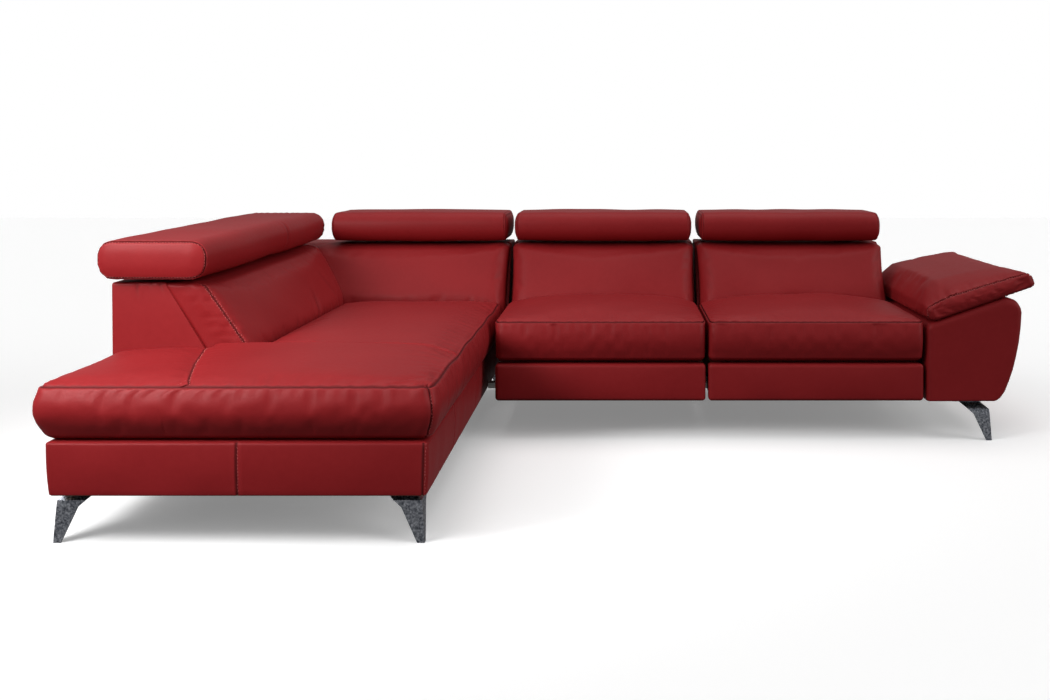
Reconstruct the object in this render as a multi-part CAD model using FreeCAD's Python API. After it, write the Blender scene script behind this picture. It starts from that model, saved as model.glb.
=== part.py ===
import FreeCAD, Part
import math
import os

from FreeCAD import Placement, Rotation, Vector

# A leather corner sofa: a lounge with a low open end on the left, a corner seat, two relax seats and a folding arm
# pad. X runs to the right, Y to the back and Z up, in millimetres, from the floor under the middle of the sofa.
# Back and headrest profiles are drawn once, in the plane of depth (v, from front to back) and height (z). Along the
# back wall v is Y. For the lounge's side back the same profile is turned a quarter turn, so that v runs to -X.

# Overall plan
leg_height = 135.0
base_height = 140.0        # upholstered base box
seat_thickness = 145.0     # seat cushion from its underside to the seam along its edge
back_top = 642.0           # top of the back cushions
soft_gap = 0.3             # between things that touch
slide_gap = 0.5            # between things that slide on each other
bore_gap = 0.05            # round a pin
running_gap = 2.0          # between a moving plate and the board beside it

# Lounge
lounge_right = -452.0
lounge_front = -1003.0
lounge_end_y = -540.0      # front face of the side back's end panel
lounge_seam_x = -937.0     # upright seam in the base's front
cushion_bulge = 20.5       # how far the lounge cushion's front bellies out in front of its base
cushion_left_bulge = 25.0
cushion_right_bulge = 14.0
cover_wall = 12.0          # leather over its padding
board = 22.0               # frame boards
board_drop = 4.0           # frame boards stop this far below the cover's padding
back_rail_foot = 60.0      # the back frames' middle rail stands this far above their foot
back_rail_width = 80.0
webbing = 3.0              # elastic straps across the back frames
web_width = 40.0
spring_wire = 1.9
spring_swing = 24.0
springs_per_seat = 5
dust_cloth = 1.2

# Relax seats, from the lounge towards the arm
lounge_gap = 46.0          # from the lounge's base to the first relax module
module_gap = 6.0           # between the two relax modules
arm_gap = 8.0              # from the second one to the arm
relax_front = 97.0
relax_width = [744.0, 760.0]
relax_left = [lounge_right + lounge_gap, lounge_right + lounge_gap + relax_width[0] + module_gap]
relax_seat_depth = 484.0
relax_travel = 150.0
seat_crown = 22.0

# Backs
back_lean = 136.0          # the back's face leans back this far from the seat to its top
back_pad_low = 62.0        # thickness of the back cushion at the seat
back_pad_high = 112.0      # and at its top
back_body = 158.0          # from the cushion to the outer back, at the top
back_face_low = relax_front + relax_seat_depth + 7.0
back_face_high = back_face_low + back_lean
frame_face_low = back_face_low + back_pad_low
frame_face_high = back_face_high + back_pad_high
back_rear = frame_face_high + back_body
back_face_bulge = 10.0
side_back_offset = 465.0   # the side back stands at X = -side_back_offset - v
pad_low = leg_height + base_height + 30.0     # underside of the back cushions
pad_foot_v = back_face_low + 8.0
corner_room = 16.0         # the side back's cushion stops this far in front of the corner's face
lounge_left = -side_back_offset - back_rear + 34.0

# Headrests
headrest_depth = 323.0
headrest_overhang = 29.0   # behind the outer back
headrest_rear = back_rear + headrest_overhang
headrest_thickness = 117.0
headrest_lift = 11.0       # clear of the back's top
headrest_overlap_left = 46.0
headrest_inset = 8.0       # in from the ends of its back
corner_gap = 9.0           # from the corner back to the first relax module
corner_right = relax_left[0] - corner_gap
headrest_turn_gap = 23.0   # between the side headrest's inner edge and the corner headrest
corner_headrest_left = headrest_depth - side_back_offset - headrest_rear + headrest_turn_gap
lounge_headrest_end = back_face_high + 28.0

# Arm
arm_inner = relax_left[1] + relax_width[1] + arm_gap
arm_front = relax_front
arm_rear = back_rear
arm_rise = 133.0           # inner top edge over the base
arm_slope = 19.2           # degrees
arm_shoulder_reach = 260.0
arm_top_reach = 334.0
arm_foot_reach = 265.0
arm_wall = 28.0
pad_overall_reach = 376.0
arm_top_inner = leg_height + base_height + arm_rise
arm_shoulder = arm_inner + arm_shoulder_reach
arm_outer_top = arm_inner + arm_top_reach
arm_outer_bottom = arm_inner + arm_foot_reach
pad_edge = arm_inner + pad_overall_reach
pad_nose_radius = 26.0
pad_front = arm_front - 7.0
pad_rear = arm_rear - 47.0

# Legs
leg_wall = 6.0
leg_knee = 91.0            # heights where the wings widen
leg_hip = 109.0
leg_foot_width = 19.0
leg_knee_width = 61.0
leg_hip_width = 82.0
leg_top_width = 108.0
leg_plate = 4.0
leg_plate_size = 100.0
support_radius = 24.0
joint_front = 200.0        # module joint plates, in from the modules' front
joint_rear = 190.0         # and from their back

base_top = leg_height + base_height
cushion_low = base_top + soft_gap
seam_z = base_top + seat_thickness
relax_seat_low = base_top + 3.0


def box(x0, x1, y0, y1, z0, z1):
    return Part.makeBox(x1 - x0, y1 - y0, z1 - z0, Vector(x0, y0, z0))


def cylinder(axis, centre, radius, length):
    """A cylinder from centre, along axis for length."""
    return Part.makeCylinder(radius, length, Vector(*centre), Vector(*axis))


def slab(points, lo, hi, plane="yz"):
    """A flat polygon pushed from lo to hi across its plane."""
    place = {
        "yz": lambda a, b, w: Vector(w, a, b),
        "xz": lambda a, b, w: Vector(a, w, b),
        "xy": lambda a, b, w: Vector(a, b, w),
    }[plane]
    push = place(0, 0, hi - lo)
    wire = Part.makePolygon([place(a, b, lo) for a, b in [*points, points[0]]])
    return Part.Face(wire).extrude(push)


def cut_all(body, cuts):
    for c in cuts:
        body = body.cut(c)
    return body


def square_tube(x0, x1, y0, y1, z0, z1, wall, along):
    """A hollow rectangular tube, open at both ends."""
    outer = box(x0, x1, y0, y1, z0, z1)
    if along == "y":
        inner = box(x0 + wall, x1 - wall, y0 - 1, y1 + 1, z0 + wall, z1 - wall)
    else:
        inner = box(x0 - 1, x1 + 1, y0 + wall, y1 - wall, z0 + wall, z1 - wall)
    return outer.cut(inner)


def ring_outline(corners, radii, sags):
    """A closed outline in a plane: straight or bowed sides joined by rounded corners.

    corners are (a, b) pairs in order, radii the size of each corner, sags how far the side after each corner bows out.
    """
    count = len(corners)
    middle = Vector(sum(c[0] for c in corners) / count, sum(c[1] for c in corners) / count, 0)
    points = [Vector(a, b, 0) for a, b in corners]
    starts = []
    ends = []
    for i, here in enumerate(points):
        to_last = (points[i - 1] - here).normalize()
        to_next = (points[(i + 1) % count] - here).normalize()
        ends.append(here + to_last * radii[i])
        starts.append(here + to_next * radii[i])
    edges = []
    for i, here in enumerate(points):
        a, b = ends[i], starts[i]
        half = (a + b) * 0.5
        edges.append(("arc", a, half + (here - half) * 0.42, b))
        c, d = starts[i], ends[(i + 1) % count]
        side = (c + d) * 0.5
        out = Vector(d.y - c.y, c.x - d.x, 0).normalize()
        if out.dot(side - middle) < 0:
            out = out * -1
        edges.append(("arc" if sags[i] else "line", c, side + out * sags[i], d))
    return edges


def outline_wire(edges, place):
    made = []
    for kind, a, m, b in edges:
        if kind == "arc":
            made.append(Part.Arc(place(a), place(m), place(b)).toShape())
        else:
            made.append(Part.LineSegment(place(a), place(b)).toShape())
    return Part.Wire(made)


def padded_form(stations, plane="yz"):
    """A soft body through outlines. Each station is (w, corners, radii, sags), w being its place across the plane."""
    wires = []
    for w, corners, radii, sags in stations:
        if plane == "yz":
            place = lambda p, w=w: Vector(w, p.x, p.y)
        elif plane == "xz":
            place = lambda p, w=w: Vector(p.x, w, p.y)
        else:
            place = lambda p, w=w: Vector(p.x, p.y, w)
        wires.append(outline_wire(ring_outline(corners, radii, sags), place))
    return Part.makeLoft(wires, True, True)


def drawn_in(lo, hi, edge, inset):
    """Places across a cushion, with how far the outline is drawn in there and how full the crown is (0 to 1)."""
    span = hi - lo
    rows = [(0.0, inset, 0.0), (edge * 0.3, inset * 0.45, 0.15), (edge, 0.0, 0.35), (span * 0.25, 0.0, 0.85)]
    places = [(lo + d, i, c) for d, i, c in rows]
    places.append((lo + span / 2, 0.0, 1.0))
    places += [(hi - d, i, c) for d, i, c in reversed(rows)]
    return places


def quarter_turn(shape):
    """Takes a shape drawn along the back wall to the lounge's side: depth v runs to -X, width to +Y."""
    return shape.transformed(Placement(Vector(-side_back_offset, 0, 0), Rotation(Vector(0, 0, 1), 90)).toMatrix())


def wave_spring(x, y0, y1, z, turns):
    """A flat zigzag seat spring between two rails."""
    step = (y1 - y0) / (turns + 1)
    points = [Vector(x, y0, z)]
    for i in range(turns):
        points.append(Vector(x + (spring_swing if i % 2 else -spring_swing), y0 + step * (i + 1), z))
    points.append(Vector(x, y1, z))
    path = []
    last = points[0]
    for i in range(1, len(points) - 1):
        back = (points[i - 1] - points[i]).normalize()
        on = (points[i + 1] - points[i]).normalize()
        reach = step * 0.42
        a, b = points[i] + back * reach, points[i] + on * reach
        path.append(Part.LineSegment(last, a).toShape())
        half = (a + b) * 0.5
        path.append(Part.Arc(a, half + (points[i] - half) * 0.45, b).toShape())
        last = b
    path.append(Part.LineSegment(last, points[-1]).toShape())
    start = (points[1] - points[0]).normalize()
    profile = Part.Wire(Part.makeCircle(spring_wire, points[0], start))
    return Part.Wire(path).makePipeShell([profile], True, False)


def save(name, solids):
    """Writes one sub-part, made of one or more closed solids."""
    solids = [s for shape in solids for s in shape.Solids]
    for s in solids:
        if not s.isValid() or s.Volume <= 0:
            raise ValueError(f"{name} has a solid that isn't sound")
    shape = solids[0] if len(solids) == 1 else Part.makeCompound(solids)
    shape.exportStep(f"parts/{name}.step")
    b = shape.BoundBox
    made[name] = (b.XMin, b.XMax, b.YMin, b.YMax, b.ZMin, b.ZMax, len(solids))
    return shape


# Back profile, in (v, z)
def face_at(z):
    """v of the back cushion's face at height z, on a straight line from the seat to the top."""
    share = (z - seam_z) / (back_top - seam_z)
    return back_face_low + share * (back_face_high - back_face_low)


def frame_face_at(z):
    share = (z - pad_low) / (back_top - pad_low)
    return frame_face_low + share * (frame_face_high - frame_face_low)


def back_cushion(lo, hi, draw=14.0):
    """The padded face of a back, from lo to hi along its width."""
    stations = []
    for w, inset, crown in drawn_in(lo, hi, 26.0, draw):
        corners = [
            (pad_foot_v + inset, pad_low),
            (face_at(seam_z) + inset, seam_z - 40.0),
            (back_face_high + inset * 0.8, back_top - inset * 0.5),
            (frame_face_at(back_top - inset * 0.3) - soft_gap, back_top - inset * 0.3),
            (frame_face_low - soft_gap, pad_low),
        ]
        radii = [8.0, 20.0, 20.0, 5.0, 5.0]
        sags = [0.0, 4.0 + back_face_bulge * crown, 0.0, 0.0, 0.0]
        stations.append((w, corners, radii, sags))
    return padded_form(stations)


def back_side_profile(foot_z, rear):
    """The outline of a back's body behind its cushion, in (v, z)."""
    return [
        (frame_face_at(foot_z), foot_z),
        (rear, foot_z),
        (rear, back_top - cover_wall - board_drop),
        (frame_face_at(back_top - cover_wall - board_drop), back_top - cover_wall - board_drop),
    ]


# Headrest profile, in (v, z): it turns about the middle of its round front
nose = headrest_thickness / 2
headrest_low = back_top + headrest_lift
headrest_high = headrest_low + headrest_thickness
hinge_v = headrest_rear - headrest_depth + nose
hinge_z = headrest_low + nose
bracket_plate = 5.0
ear_plate = 4.0
ear_gap = 1.0
pin_radius = 5.0
hub_radius = 12.0
bracket_reach = 116.0      # from the hinge back to the bracket's upright
bracket_width = 20.0
slot_half = 15.0
core_board = 12.0
core_front = bracket_reach + 5.0    # from the hinge back to the headrest's core board
core_back = 232.0
ear_lap = 30.0             # the hinge ears lie this far over the core board
slot_reach = core_front + ear_lap + 1.5
core_margin = 40.0
hinge_share = 0.22         # hinges stand this share of the width in from each end


def headrest_pad(lo, hi):
    """The headrest's padding, slotted underneath for its two hinges and pocketed for its core board."""
    stations = []
    for w, inset, crown in drawn_in(lo, hi, 22.0, 12.0):
        top = headrest_high - 3.0 - inset * 0.6
        front = headrest_rear - headrest_depth + inset * 0.5
        rear = headrest_rear - inset * 0.5
        bottom = headrest_low + inset * 0.5
        corners = [(front, bottom), (front, top), (rear, top), (rear, bottom)]
        radii = [nose * 0.86, nose * 0.86, nose * 0.8, nose * 0.8]
        sags = [3.0, 3.0 * crown, 3.0, 0.0]
        stations.append((w, corners, radii, sags))
    body = padded_form(stations)
    cuts = [
        box(
            lo + core_margin - soft_gap,
            hi - core_margin + soft_gap,
            hinge_v + core_front - soft_gap,
            hinge_v + core_back + soft_gap,
            hinge_z - core_board - soft_gap,
            hinge_z + soft_gap,
        )
    ]
    for x in hinge_places(lo, hi):
        cuts.append(
            box(
                x - slot_half,
                x + slot_half,
                hinge_v - hub_radius - 2.5,
                hinge_v + slot_reach,
                headrest_low - 5.0,
                hinge_z + hub_radius + 2.5,
            )
        )
    return cut_all(body, cuts)


def hinge_places(lo, hi):
    return [lo + (hi - lo) * hinge_share, hi - (hi - lo) * hinge_share]


def headrest_frame(lo, hi):
    """Core board, two pairs of hinge ears and their pins."""
    made_of = [
        box(
            lo + core_margin,
            hi - core_margin,
            hinge_v + core_front,
            hinge_v + core_back,
            hinge_z - core_board,
            hinge_z,
        )
    ]
    for x in hinge_places(lo, hi):
        near = bracket_plate / 2 + ear_gap
        for side in (-1, 1):
            a, b = sorted((x + side * near, x + side * (near + ear_plate)))
            ear = box(a, b, hinge_v, hinge_v + core_front + ear_lap, hinge_z, hinge_z + hub_radius - 1.0)
            hub = cylinder((1, 0, 0), (a, hinge_v, hinge_z), hub_radius, b - a)
            ear = ear.fuse(hub)
            bore = cylinder((1, 0, 0), (a - 1, hinge_v, hinge_z), pin_radius + bore_gap, b - a + 2)
            made_of.append(ear.cut(bore))
    return made_of


def headrest_brackets(lo, hi):
    """The fixed half of the two hinges: an upright off the back's top rail, a forward arm, and the pin."""
    rail_top = back_top - cover_wall - board_drop
    made_of = []
    for x in hinge_places(lo, hi):
        a, b = x - bracket_plate / 2, x + bracket_plate / 2
        upright = box(
            a, b, hinge_v + bracket_reach - bracket_width, hinge_v + bracket_reach, rail_top + soft_gap, hinge_z + 10.0
        )
        arm = box(a, b, hinge_v, hinge_v + bracket_reach, hinge_z - 10.0, hinge_z + 10.0)
        foot = box(
            x - 22.0, x + 22.0, hinge_v + bracket_reach - 34.0, hinge_v + bracket_reach + 12.0,
            rail_top + soft_gap, rail_top + soft_gap + 4.0,
        )
        hub = cylinder((1, 0, 0), (a, hinge_v, hinge_z), hub_radius - 1.0, bracket_plate)
        pin_half = bracket_plate / 2 + ear_gap + ear_plate + 1.0
        pin = cylinder((1, 0, 0), (x - pin_half, hinge_v, hinge_z), pin_radius, 2 * pin_half)
        made_of.append(upright.fuse([arm, foot, hub, pin]).removeSplitter())
    return made_of


def bracket_slots(lo, hi):
    """Where the brackets pass up through the back's top cover."""
    slots = []
    for x in hinge_places(lo, hi):
        slots.append(
            box(
                x - 24.0, x + 24.0, hinge_v + bracket_reach - 60.0, hinge_v + bracket_reach + 14.0,
                back_top - cover_wall - board_drop, back_top + 1.0,
            )
        )
    return slots


def back_cover(lo, hi, foot_z, ends=(True, True), rear_foot=None, slots_for=None):
    """Leather and padding over a back's outside: the rear, the ends that show, and the top behind the cushion."""
    rear_foot = foot_z if rear_foot is None else rear_foot
    inner_lo = lo + (cover_wall if ends[0] else 0)
    inner_hi = hi - (cover_wall if ends[1] else 0)
    top_front = frame_face_at(back_top) + soft_gap
    rear = box(inner_lo, inner_hi, back_rear - cover_wall, back_rear, rear_foot, back_top - cover_wall)
    top = slab(
        [
            (top_front, back_top),
            (back_rear, back_top),
            (back_rear, back_top - cover_wall + soft_gap),
            (frame_face_at(back_top - cover_wall) + soft_gap, back_top - cover_wall + soft_gap),
        ],
        inner_lo,
        inner_hi,
    )
    top = cut_all(top, bracket_slots(*(slots_for or (lo, hi))))
    panels = [rear, top]
    side = [
        (frame_face_at(foot_z) + soft_gap, foot_z),
        (back_rear - cover_wall - 8.0, foot_z),
        (back_rear - cover_wall - 8.0, rear_foot),
        (back_rear, rear_foot),
        (back_rear, back_top),
        (top_front, back_top),
    ]
    if ends[0]:
        panels.append(slab(side, lo, inner_lo - soft_gap))
    if ends[1]:
        panels.append(slab(side, inner_hi + soft_gap, hi))
    return panels


def back_webs(lo, hi, low, high):
    """Three webbing straps across a back frame's front edge."""
    straps = []
    for k in range(3):
        z = low + (high - low) * k / 2
        front = frame_face_at(z) + 3.0
        lean = frame_face_at(z + web_width) - frame_face_at(z)
        low_edge = [(front, z), (front + webbing, z)]
        high_edge = [(front + webbing + lean, z + web_width), (front + lean, z + web_width)]
        straps.append(slab(low_edge + high_edge, lo, hi))
    return straps


def back_frame(lo, hi, foot_z, rear):
    """Plywood sides, top, middle and foot rails, and webbing across the front edge."""
    top_z = back_top - cover_wall - board_drop
    profile = back_side_profile(foot_z, rear)
    sides = [slab(profile, lo, lo + board), slab(profile, hi - board, hi)]
    inner_lo, inner_hi = lo + board, hi - board
    top_front = frame_face_at(top_z)
    rail_z = foot_z + back_rail_foot
    rails = [
        box(inner_lo, inner_hi, top_front + 2.0, rear, top_z - board, top_z),
        box(inner_lo, inner_hi, rear - board, rear, rail_z, rail_z + back_rail_width),
    ]
    return sides + rails + back_webs(inner_lo, inner_hi, foot_z + 70.0, top_z - board - 60.0)


def lounge_base():
    """Board frame, leather skirt with its front seam, springs and dust cloth of the lounge and corner seat."""
    x0, x1, y0, y1 = lounge_left, lounge_right, lounge_front, back_rear
    fx0, fx1 = x0 + cover_wall + soft_gap, x1 - cover_wall - soft_gap
    fy0, fy1 = y0 + cover_wall + soft_gap, y1 - cover_wall - soft_gap
    z0, z1 = leg_height, base_top
    frame = [
        box(fx0, fx0 + board, fy0, fy1, z0, z1),
        box(fx1 - board, fx1, fy0, fy1, z0, z1),
        box(fx0 + board, fx1 - board, fy0, fy0 + board, z0, z1),
        box(fx0 + board, fx1 - board, fy1 - board, fy1, z0, z1),
    ]
    spring_rails = [lounge_end_y, frame_face_low - 60.0]
    for y in spring_rails:
        frame.append(box(fx0 + board, fx1 - board, y, y + board, z0, z1))
    save("lounge_base_frame", frame)

    skirt_z0, skirt_z1 = leg_height, base_top - 3.0
    cover = [
        box(x0, lounge_seam_x - 0.5, y0, y0 + cover_wall, skirt_z0, skirt_z1),
        box(lounge_seam_x + 0.5, x1, y0, y0 + cover_wall, skirt_z0, skirt_z1),
        box(x0, x0 + cover_wall, y0 + cover_wall + soft_gap, y1, skirt_z0, skirt_z1),
        box(x1 - cover_wall, x1, y0 + cover_wall + soft_gap, y1, skirt_z0, skirt_z1),
        box(x0 + cover_wall + soft_gap, x1 - cover_wall - soft_gap, y1 - cover_wall, y1, skirt_z0, skirt_z1),
    ]
    save("lounge_base_cover", cover)

    springs = []
    bays = [(fy0 + board, spring_rails[0]), (spring_rails[0] + board, spring_rails[1])]
    for (a, b), turns in zip(bays, (7, 17)):
        for i in range(springs_per_seat):
            x = fx0 + board + (fx1 - fx0 - 2 * board) * (i + 0.5) / springs_per_seat
            springs.append(wave_spring(x, a + spring_wire, b - spring_wire, base_top - spring_wire, turns))
    save("lounge_seat_springs", springs)

    cloth = []
    edges = [fy0 + board, *[y + d for y in spring_rails for d in (0.0, board)], fy1 - board]
    for a, b in zip(edges[::2], edges[1::2]):
        cloth.append(box(fx0 + board, fx1 - board, a, b, leg_height, leg_height + dust_cloth))
    save("lounge_dust_cloth", cloth)


def lounge_seat():
    """The long seat cushion, in two sewn panels: one in front of the side back's end, and one beside it."""
    left = lounge_left - cushion_left_bulge
    right = lounge_right + cushion_right_bulge
    end_rear = lounge_end_y - 1.5
    seat_left = -side_back_offset - face_at(seam_z - 40.0) + 3.0
    seat_rear = face_at(seam_z - 40.0) - 3.0
    draw = 12.0

    def outline(x, inset, crown, rear):
        corners = [
            (lounge_front + inset, cushion_low),
            (lounge_front + inset, seam_z - inset * 0.4),
            (rear, seam_z - inset * 0.4),
            (rear, cushion_low),
        ]
        return (x, corners, [14.0, 16.0, 8.0, 6.0], [cushion_bulge, seat_crown * (0.25 + 0.75 * crown), 0.0, 0.0])

    across = right - seat_left
    rows = [(seat_left, 0.0, 0.5), (seat_left + 0.1 * across, 0.0, 0.6), (seat_left + 0.3 * across, 0.0, 0.85)]
    rows += [row for row in drawn_in(seat_left, right, 24.0, draw) if row[0] > seat_left + 0.4 * across]
    seat = padded_form([outline(x, i, c, seat_rear) for x, i, c in rows])
    join = seat_left - soft_gap
    rows = [(left, draw, 0.0), (left + 7.0, draw * 0.45, 0.1), (left + 24.0, 0.0, 0.2)]
    rows += [((left + seat_left) / 2, 0.0, 0.4), (join, 0.0, 0.5)]
    end = padded_form([outline(x, i, c, end_rear) for x, i, c in rows])
    save("lounge_seat_cushion", [seat, end])


lounge_headrest_lo = lounge_end_y - headrest_overlap_left


def side_and_corner_backs():
    """The lounge's side back, and the corner back that closes it off against the back wall."""
    foot = base_top + soft_gap
    lo, hi = lounge_end_y, back_rear
    frame_rear = back_rear - cover_wall - soft_gap

    # The corner's cushion runs up to the front edge of the side back's frame.
    corner = back_cushion(-side_back_offset - frame_face_high, corner_right)
    low, high = pad_low - 40.0, back_top + 40.0
    behind_side = [
        (frame_face_at(low) - soft_gap, low),
        (frame_face_at(high) - soft_gap, high),
        (2 * headrest_rear, high),
        (2 * headrest_rear, low),
    ]
    corner = corner.cut(quarter_turn(slab(behind_side, 0.0, 2 * headrest_rear)))
    save("corner_back_cushion", [corner])

    # The side back's cushion stops in front of the corner's face.
    knee = seam_z - 40.0
    in_front_of_corner = [
        (pad_foot_v - corner_room, low),
        (back_face_low - corner_room, knee),
        (face_at(seam_z + 110.0) - corner_room, seam_z + 110.0),
        (back_face_high - 3.0, back_top + 2.0),
        (back_face_high - 3.0, high),
        (2 * headrest_rear, high),
        (2 * headrest_rear, low),
    ]
    side = quarter_turn(back_cushion(lo + 1.0, face_at(back_top) + 30.0))
    side = side.cut(slab(in_front_of_corner, -2 * headrest_rear, 0.0))
    save("lounge_back_cushion", [side])

    side_frame = back_frame(lo + cover_wall + soft_gap, frame_rear, foot, frame_rear)
    save("lounge_back_frame", [quarter_turn(s) for s in side_frame])
    corner_frame_lo = -side_back_offset - frame_face_at(foot) + 3.0
    save("corner_back_frame", back_frame(corner_frame_lo, corner_right - cover_wall - soft_gap, foot, frame_rear))

    # The outer back of the corner runs on behind the side back, so the side's cover stops short of it.
    head = (lounge_headrest_lo, lounge_headrest_end)
    side_cover = back_cover(lo, hi - cover_wall - soft_gap, foot, (True, False), slots_for=head)
    save("lounge_back_cover", [quarter_turn(s) for s in side_cover])

    rear_left = -side_back_offset - back_rear
    inner_right = corner_right - cover_wall
    top_slab = [
        (frame_face_at(back_top) + soft_gap, back_top),
        (back_rear - cover_wall - soft_gap, back_top),
        (back_rear - cover_wall - soft_gap, back_top - cover_wall + soft_gap),
        (frame_face_at(back_top - cover_wall) + soft_gap, back_top - cover_wall + soft_gap),
    ]
    top = slab(top_slab, -side_back_offset - frame_face_at(back_top - cover_wall), inner_right)
    end_outline = [
        (frame_face_at(foot) + soft_gap, foot),
        (back_rear, foot),
        (back_rear, back_top),
        (frame_face_at(back_top) + soft_gap, back_top),
    ]
    corner_cover = [
        box(rear_left, inner_right, back_rear - cover_wall, back_rear, foot, back_top),
        cut_all(top, bracket_slots(corner_headrest_left, corner_right)),
        slab(end_outline, inner_right + soft_gap, corner_right),
    ]
    save("corner_back_cover", corner_cover)

    brackets = [quarter_turn(s) for s in headrest_brackets(lounge_headrest_lo, lounge_headrest_end)]
    brackets += headrest_brackets(corner_headrest_left, corner_right)
    save("lounge_headrest_brackets", brackets)

    save("lounge_headrest_pad", [quarter_turn(headrest_pad(lounge_headrest_lo, lounge_headrest_end))])
    save("lounge_headrest_frame", [quarter_turn(s) for s in headrest_frame(lounge_headrest_lo, lounge_headrest_end)])
    save("corner_headrest_pad", [headrest_pad(corner_headrest_left, corner_right)])
    save("corner_headrest_frame", headrest_frame(corner_headrest_left, corner_right))


# Relax mechanism, shared by both relax seats
rail_width = 30.0
rail_height = 40.0
rail_wall = 2.5
rail_inset = 12.0
rail_front_inset = 90.0
rail_low = leg_height + 5.0
cross_tube = 25.0
glide = 10.0
seat_board = 20.0
seat_board_inset = 16.0
seat_frame_front = relax_front + 62.0
recline_v = frame_face_low + 50.0
recline_z = pad_low + 30.0
recline_boss = 16.0
recline_pin = 6.0
recline_plate = 5.0
seat_frame_rear = recline_v - 75.0
actuator_z = leg_height + 25.0
actuator_radius = 18.0
rod_radius = 9.0
rod_length = 300.0
panel_thickness = 38.0
panel_low = leg_height + 3.0
panel_high = base_top - 7.0
panel_board = 14.0
panel_edge = 20.0
panel_pivot_y = relax_front + panel_thickness + 6.0
panel_pivot_z = panel_high - 12.0
panel_ear = 5.0
panel_pin = 4.0
footrest_rail_width = 14.0
footrest_rail_low = leg_height + 78.0
footrest_rail_height = 30.0
footrest_rail_inset = 96.0
footrest_rail_front = panel_pivot_y + 9.0
cross_rear_y = seat_frame_rear - 92.0 - seat_board
footrest_rail_length = cross_rear_y - footrest_rail_front - 3.0
rail_tie = 12.0
guide_wall = 3.5
guide_length = 64.0
back_board_inset = seat_board_inset + seat_board + recline_plate + running_gap
moving_foot = pad_low + 28.0
rear_panel_top = moving_foot + 12.0
rear_panel_gap = 14.0      # lets the reclining back's lower edge swing past the fixed panel


def seat_frame(left, right):
    """The sliding carriage: boards on glides, cross members, footrest guides and the plates the back turns on."""
    ends = ((left, 1), (right, -1))
    board_low = rail_low + rail_height + slide_gap + glide
    top = relax_seat_low - soft_gap
    front, rear = seat_frame_front, seat_frame_rear
    made_of = []
    for edge, inward in ends:
        a, b = sorted((edge + inward * seat_board_inset, edge + inward * (seat_board_inset + seat_board)))
        made_of.append(box(a, b, front, rear, board_low, top))
        made_of.append(box(a, b, front, rear, board_low - glide, board_low))
        face = b if inward > 0 else a
        p, q = sorted((face, face + inward * recline_plate))
        plate = slab(
            [
                (rear - 90.0, board_low + 4.0),
                (rear, board_low + 4.0),
                (recline_v + recline_boss, recline_z - recline_boss),
                (recline_v + recline_boss, recline_z + recline_boss),
                (recline_v - recline_boss + 2.0, recline_z + recline_boss),
                (recline_v - 28.0, pad_low - 7.0),
                (rear - 90.0, relax_seat_low - 20.0),
            ],
            p,
            q,
        )
        reach = recline_plate + running_gap + board + 4.0
        pin = cylinder((inward, 0, 0), (face, recline_v, recline_z), recline_pin, reach)
        made_of.append(plate.fuse(pin).removeSplitter())

    inner_left = left + seat_board_inset + seat_board
    inner_right = right - seat_board_inset - seat_board
    cross_front = box(inner_left, inner_right, front, front + seat_board, board_low, top)
    low, high = footrest_rail_low, footrest_rail_low + footrest_rail_height
    half = footrest_rail_width / 2
    for edge, inward in ends:
        centre = edge + inward * footrest_rail_inset
        slot = half + 5.0
        cross_front = cross_front.cut(
            box(centre - slot, centre + slot, front - 1, front + seat_board + 1, low - 5.0, high + 5.0)
        )
        sides = half + slide_gap
        walls = sides + guide_wall
        start = front + seat_board + soft_gap
        outer = box(
            centre - walls, centre + walls, start, start + guide_length, low - slide_gap - guide_wall,
            high + slide_gap + guide_wall,
        )
        inner = box(
            centre - sides, centre + sides, start - 1, start + guide_length + 1, low - slide_gap, high + slide_gap
        )
        made_of.append(outer.cut(inner))
    cross_rear = box(inner_left, inner_right, cross_rear_y, cross_rear_y + seat_board, board_low, top)
    tie_top = low - slide_gap - guide_wall
    tie = box(inner_left, inner_right, front + 30.0, front + 70.0, tie_top - 18.0, tie_top)
    middle = (left + right) / 2
    yoke = box(middle - 16.0, middle + 16.0, cross_rear_y + 4.0, cross_rear_y + 16.0, actuator_z - 14.0, board_low)
    yoke = yoke.cut(cylinder((0, 1, 0), (middle, cross_rear_y, actuator_z), rod_radius + bore_gap, 40.0))
    return made_of + [cross_front, cross_rear, tie, yoke]


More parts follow.
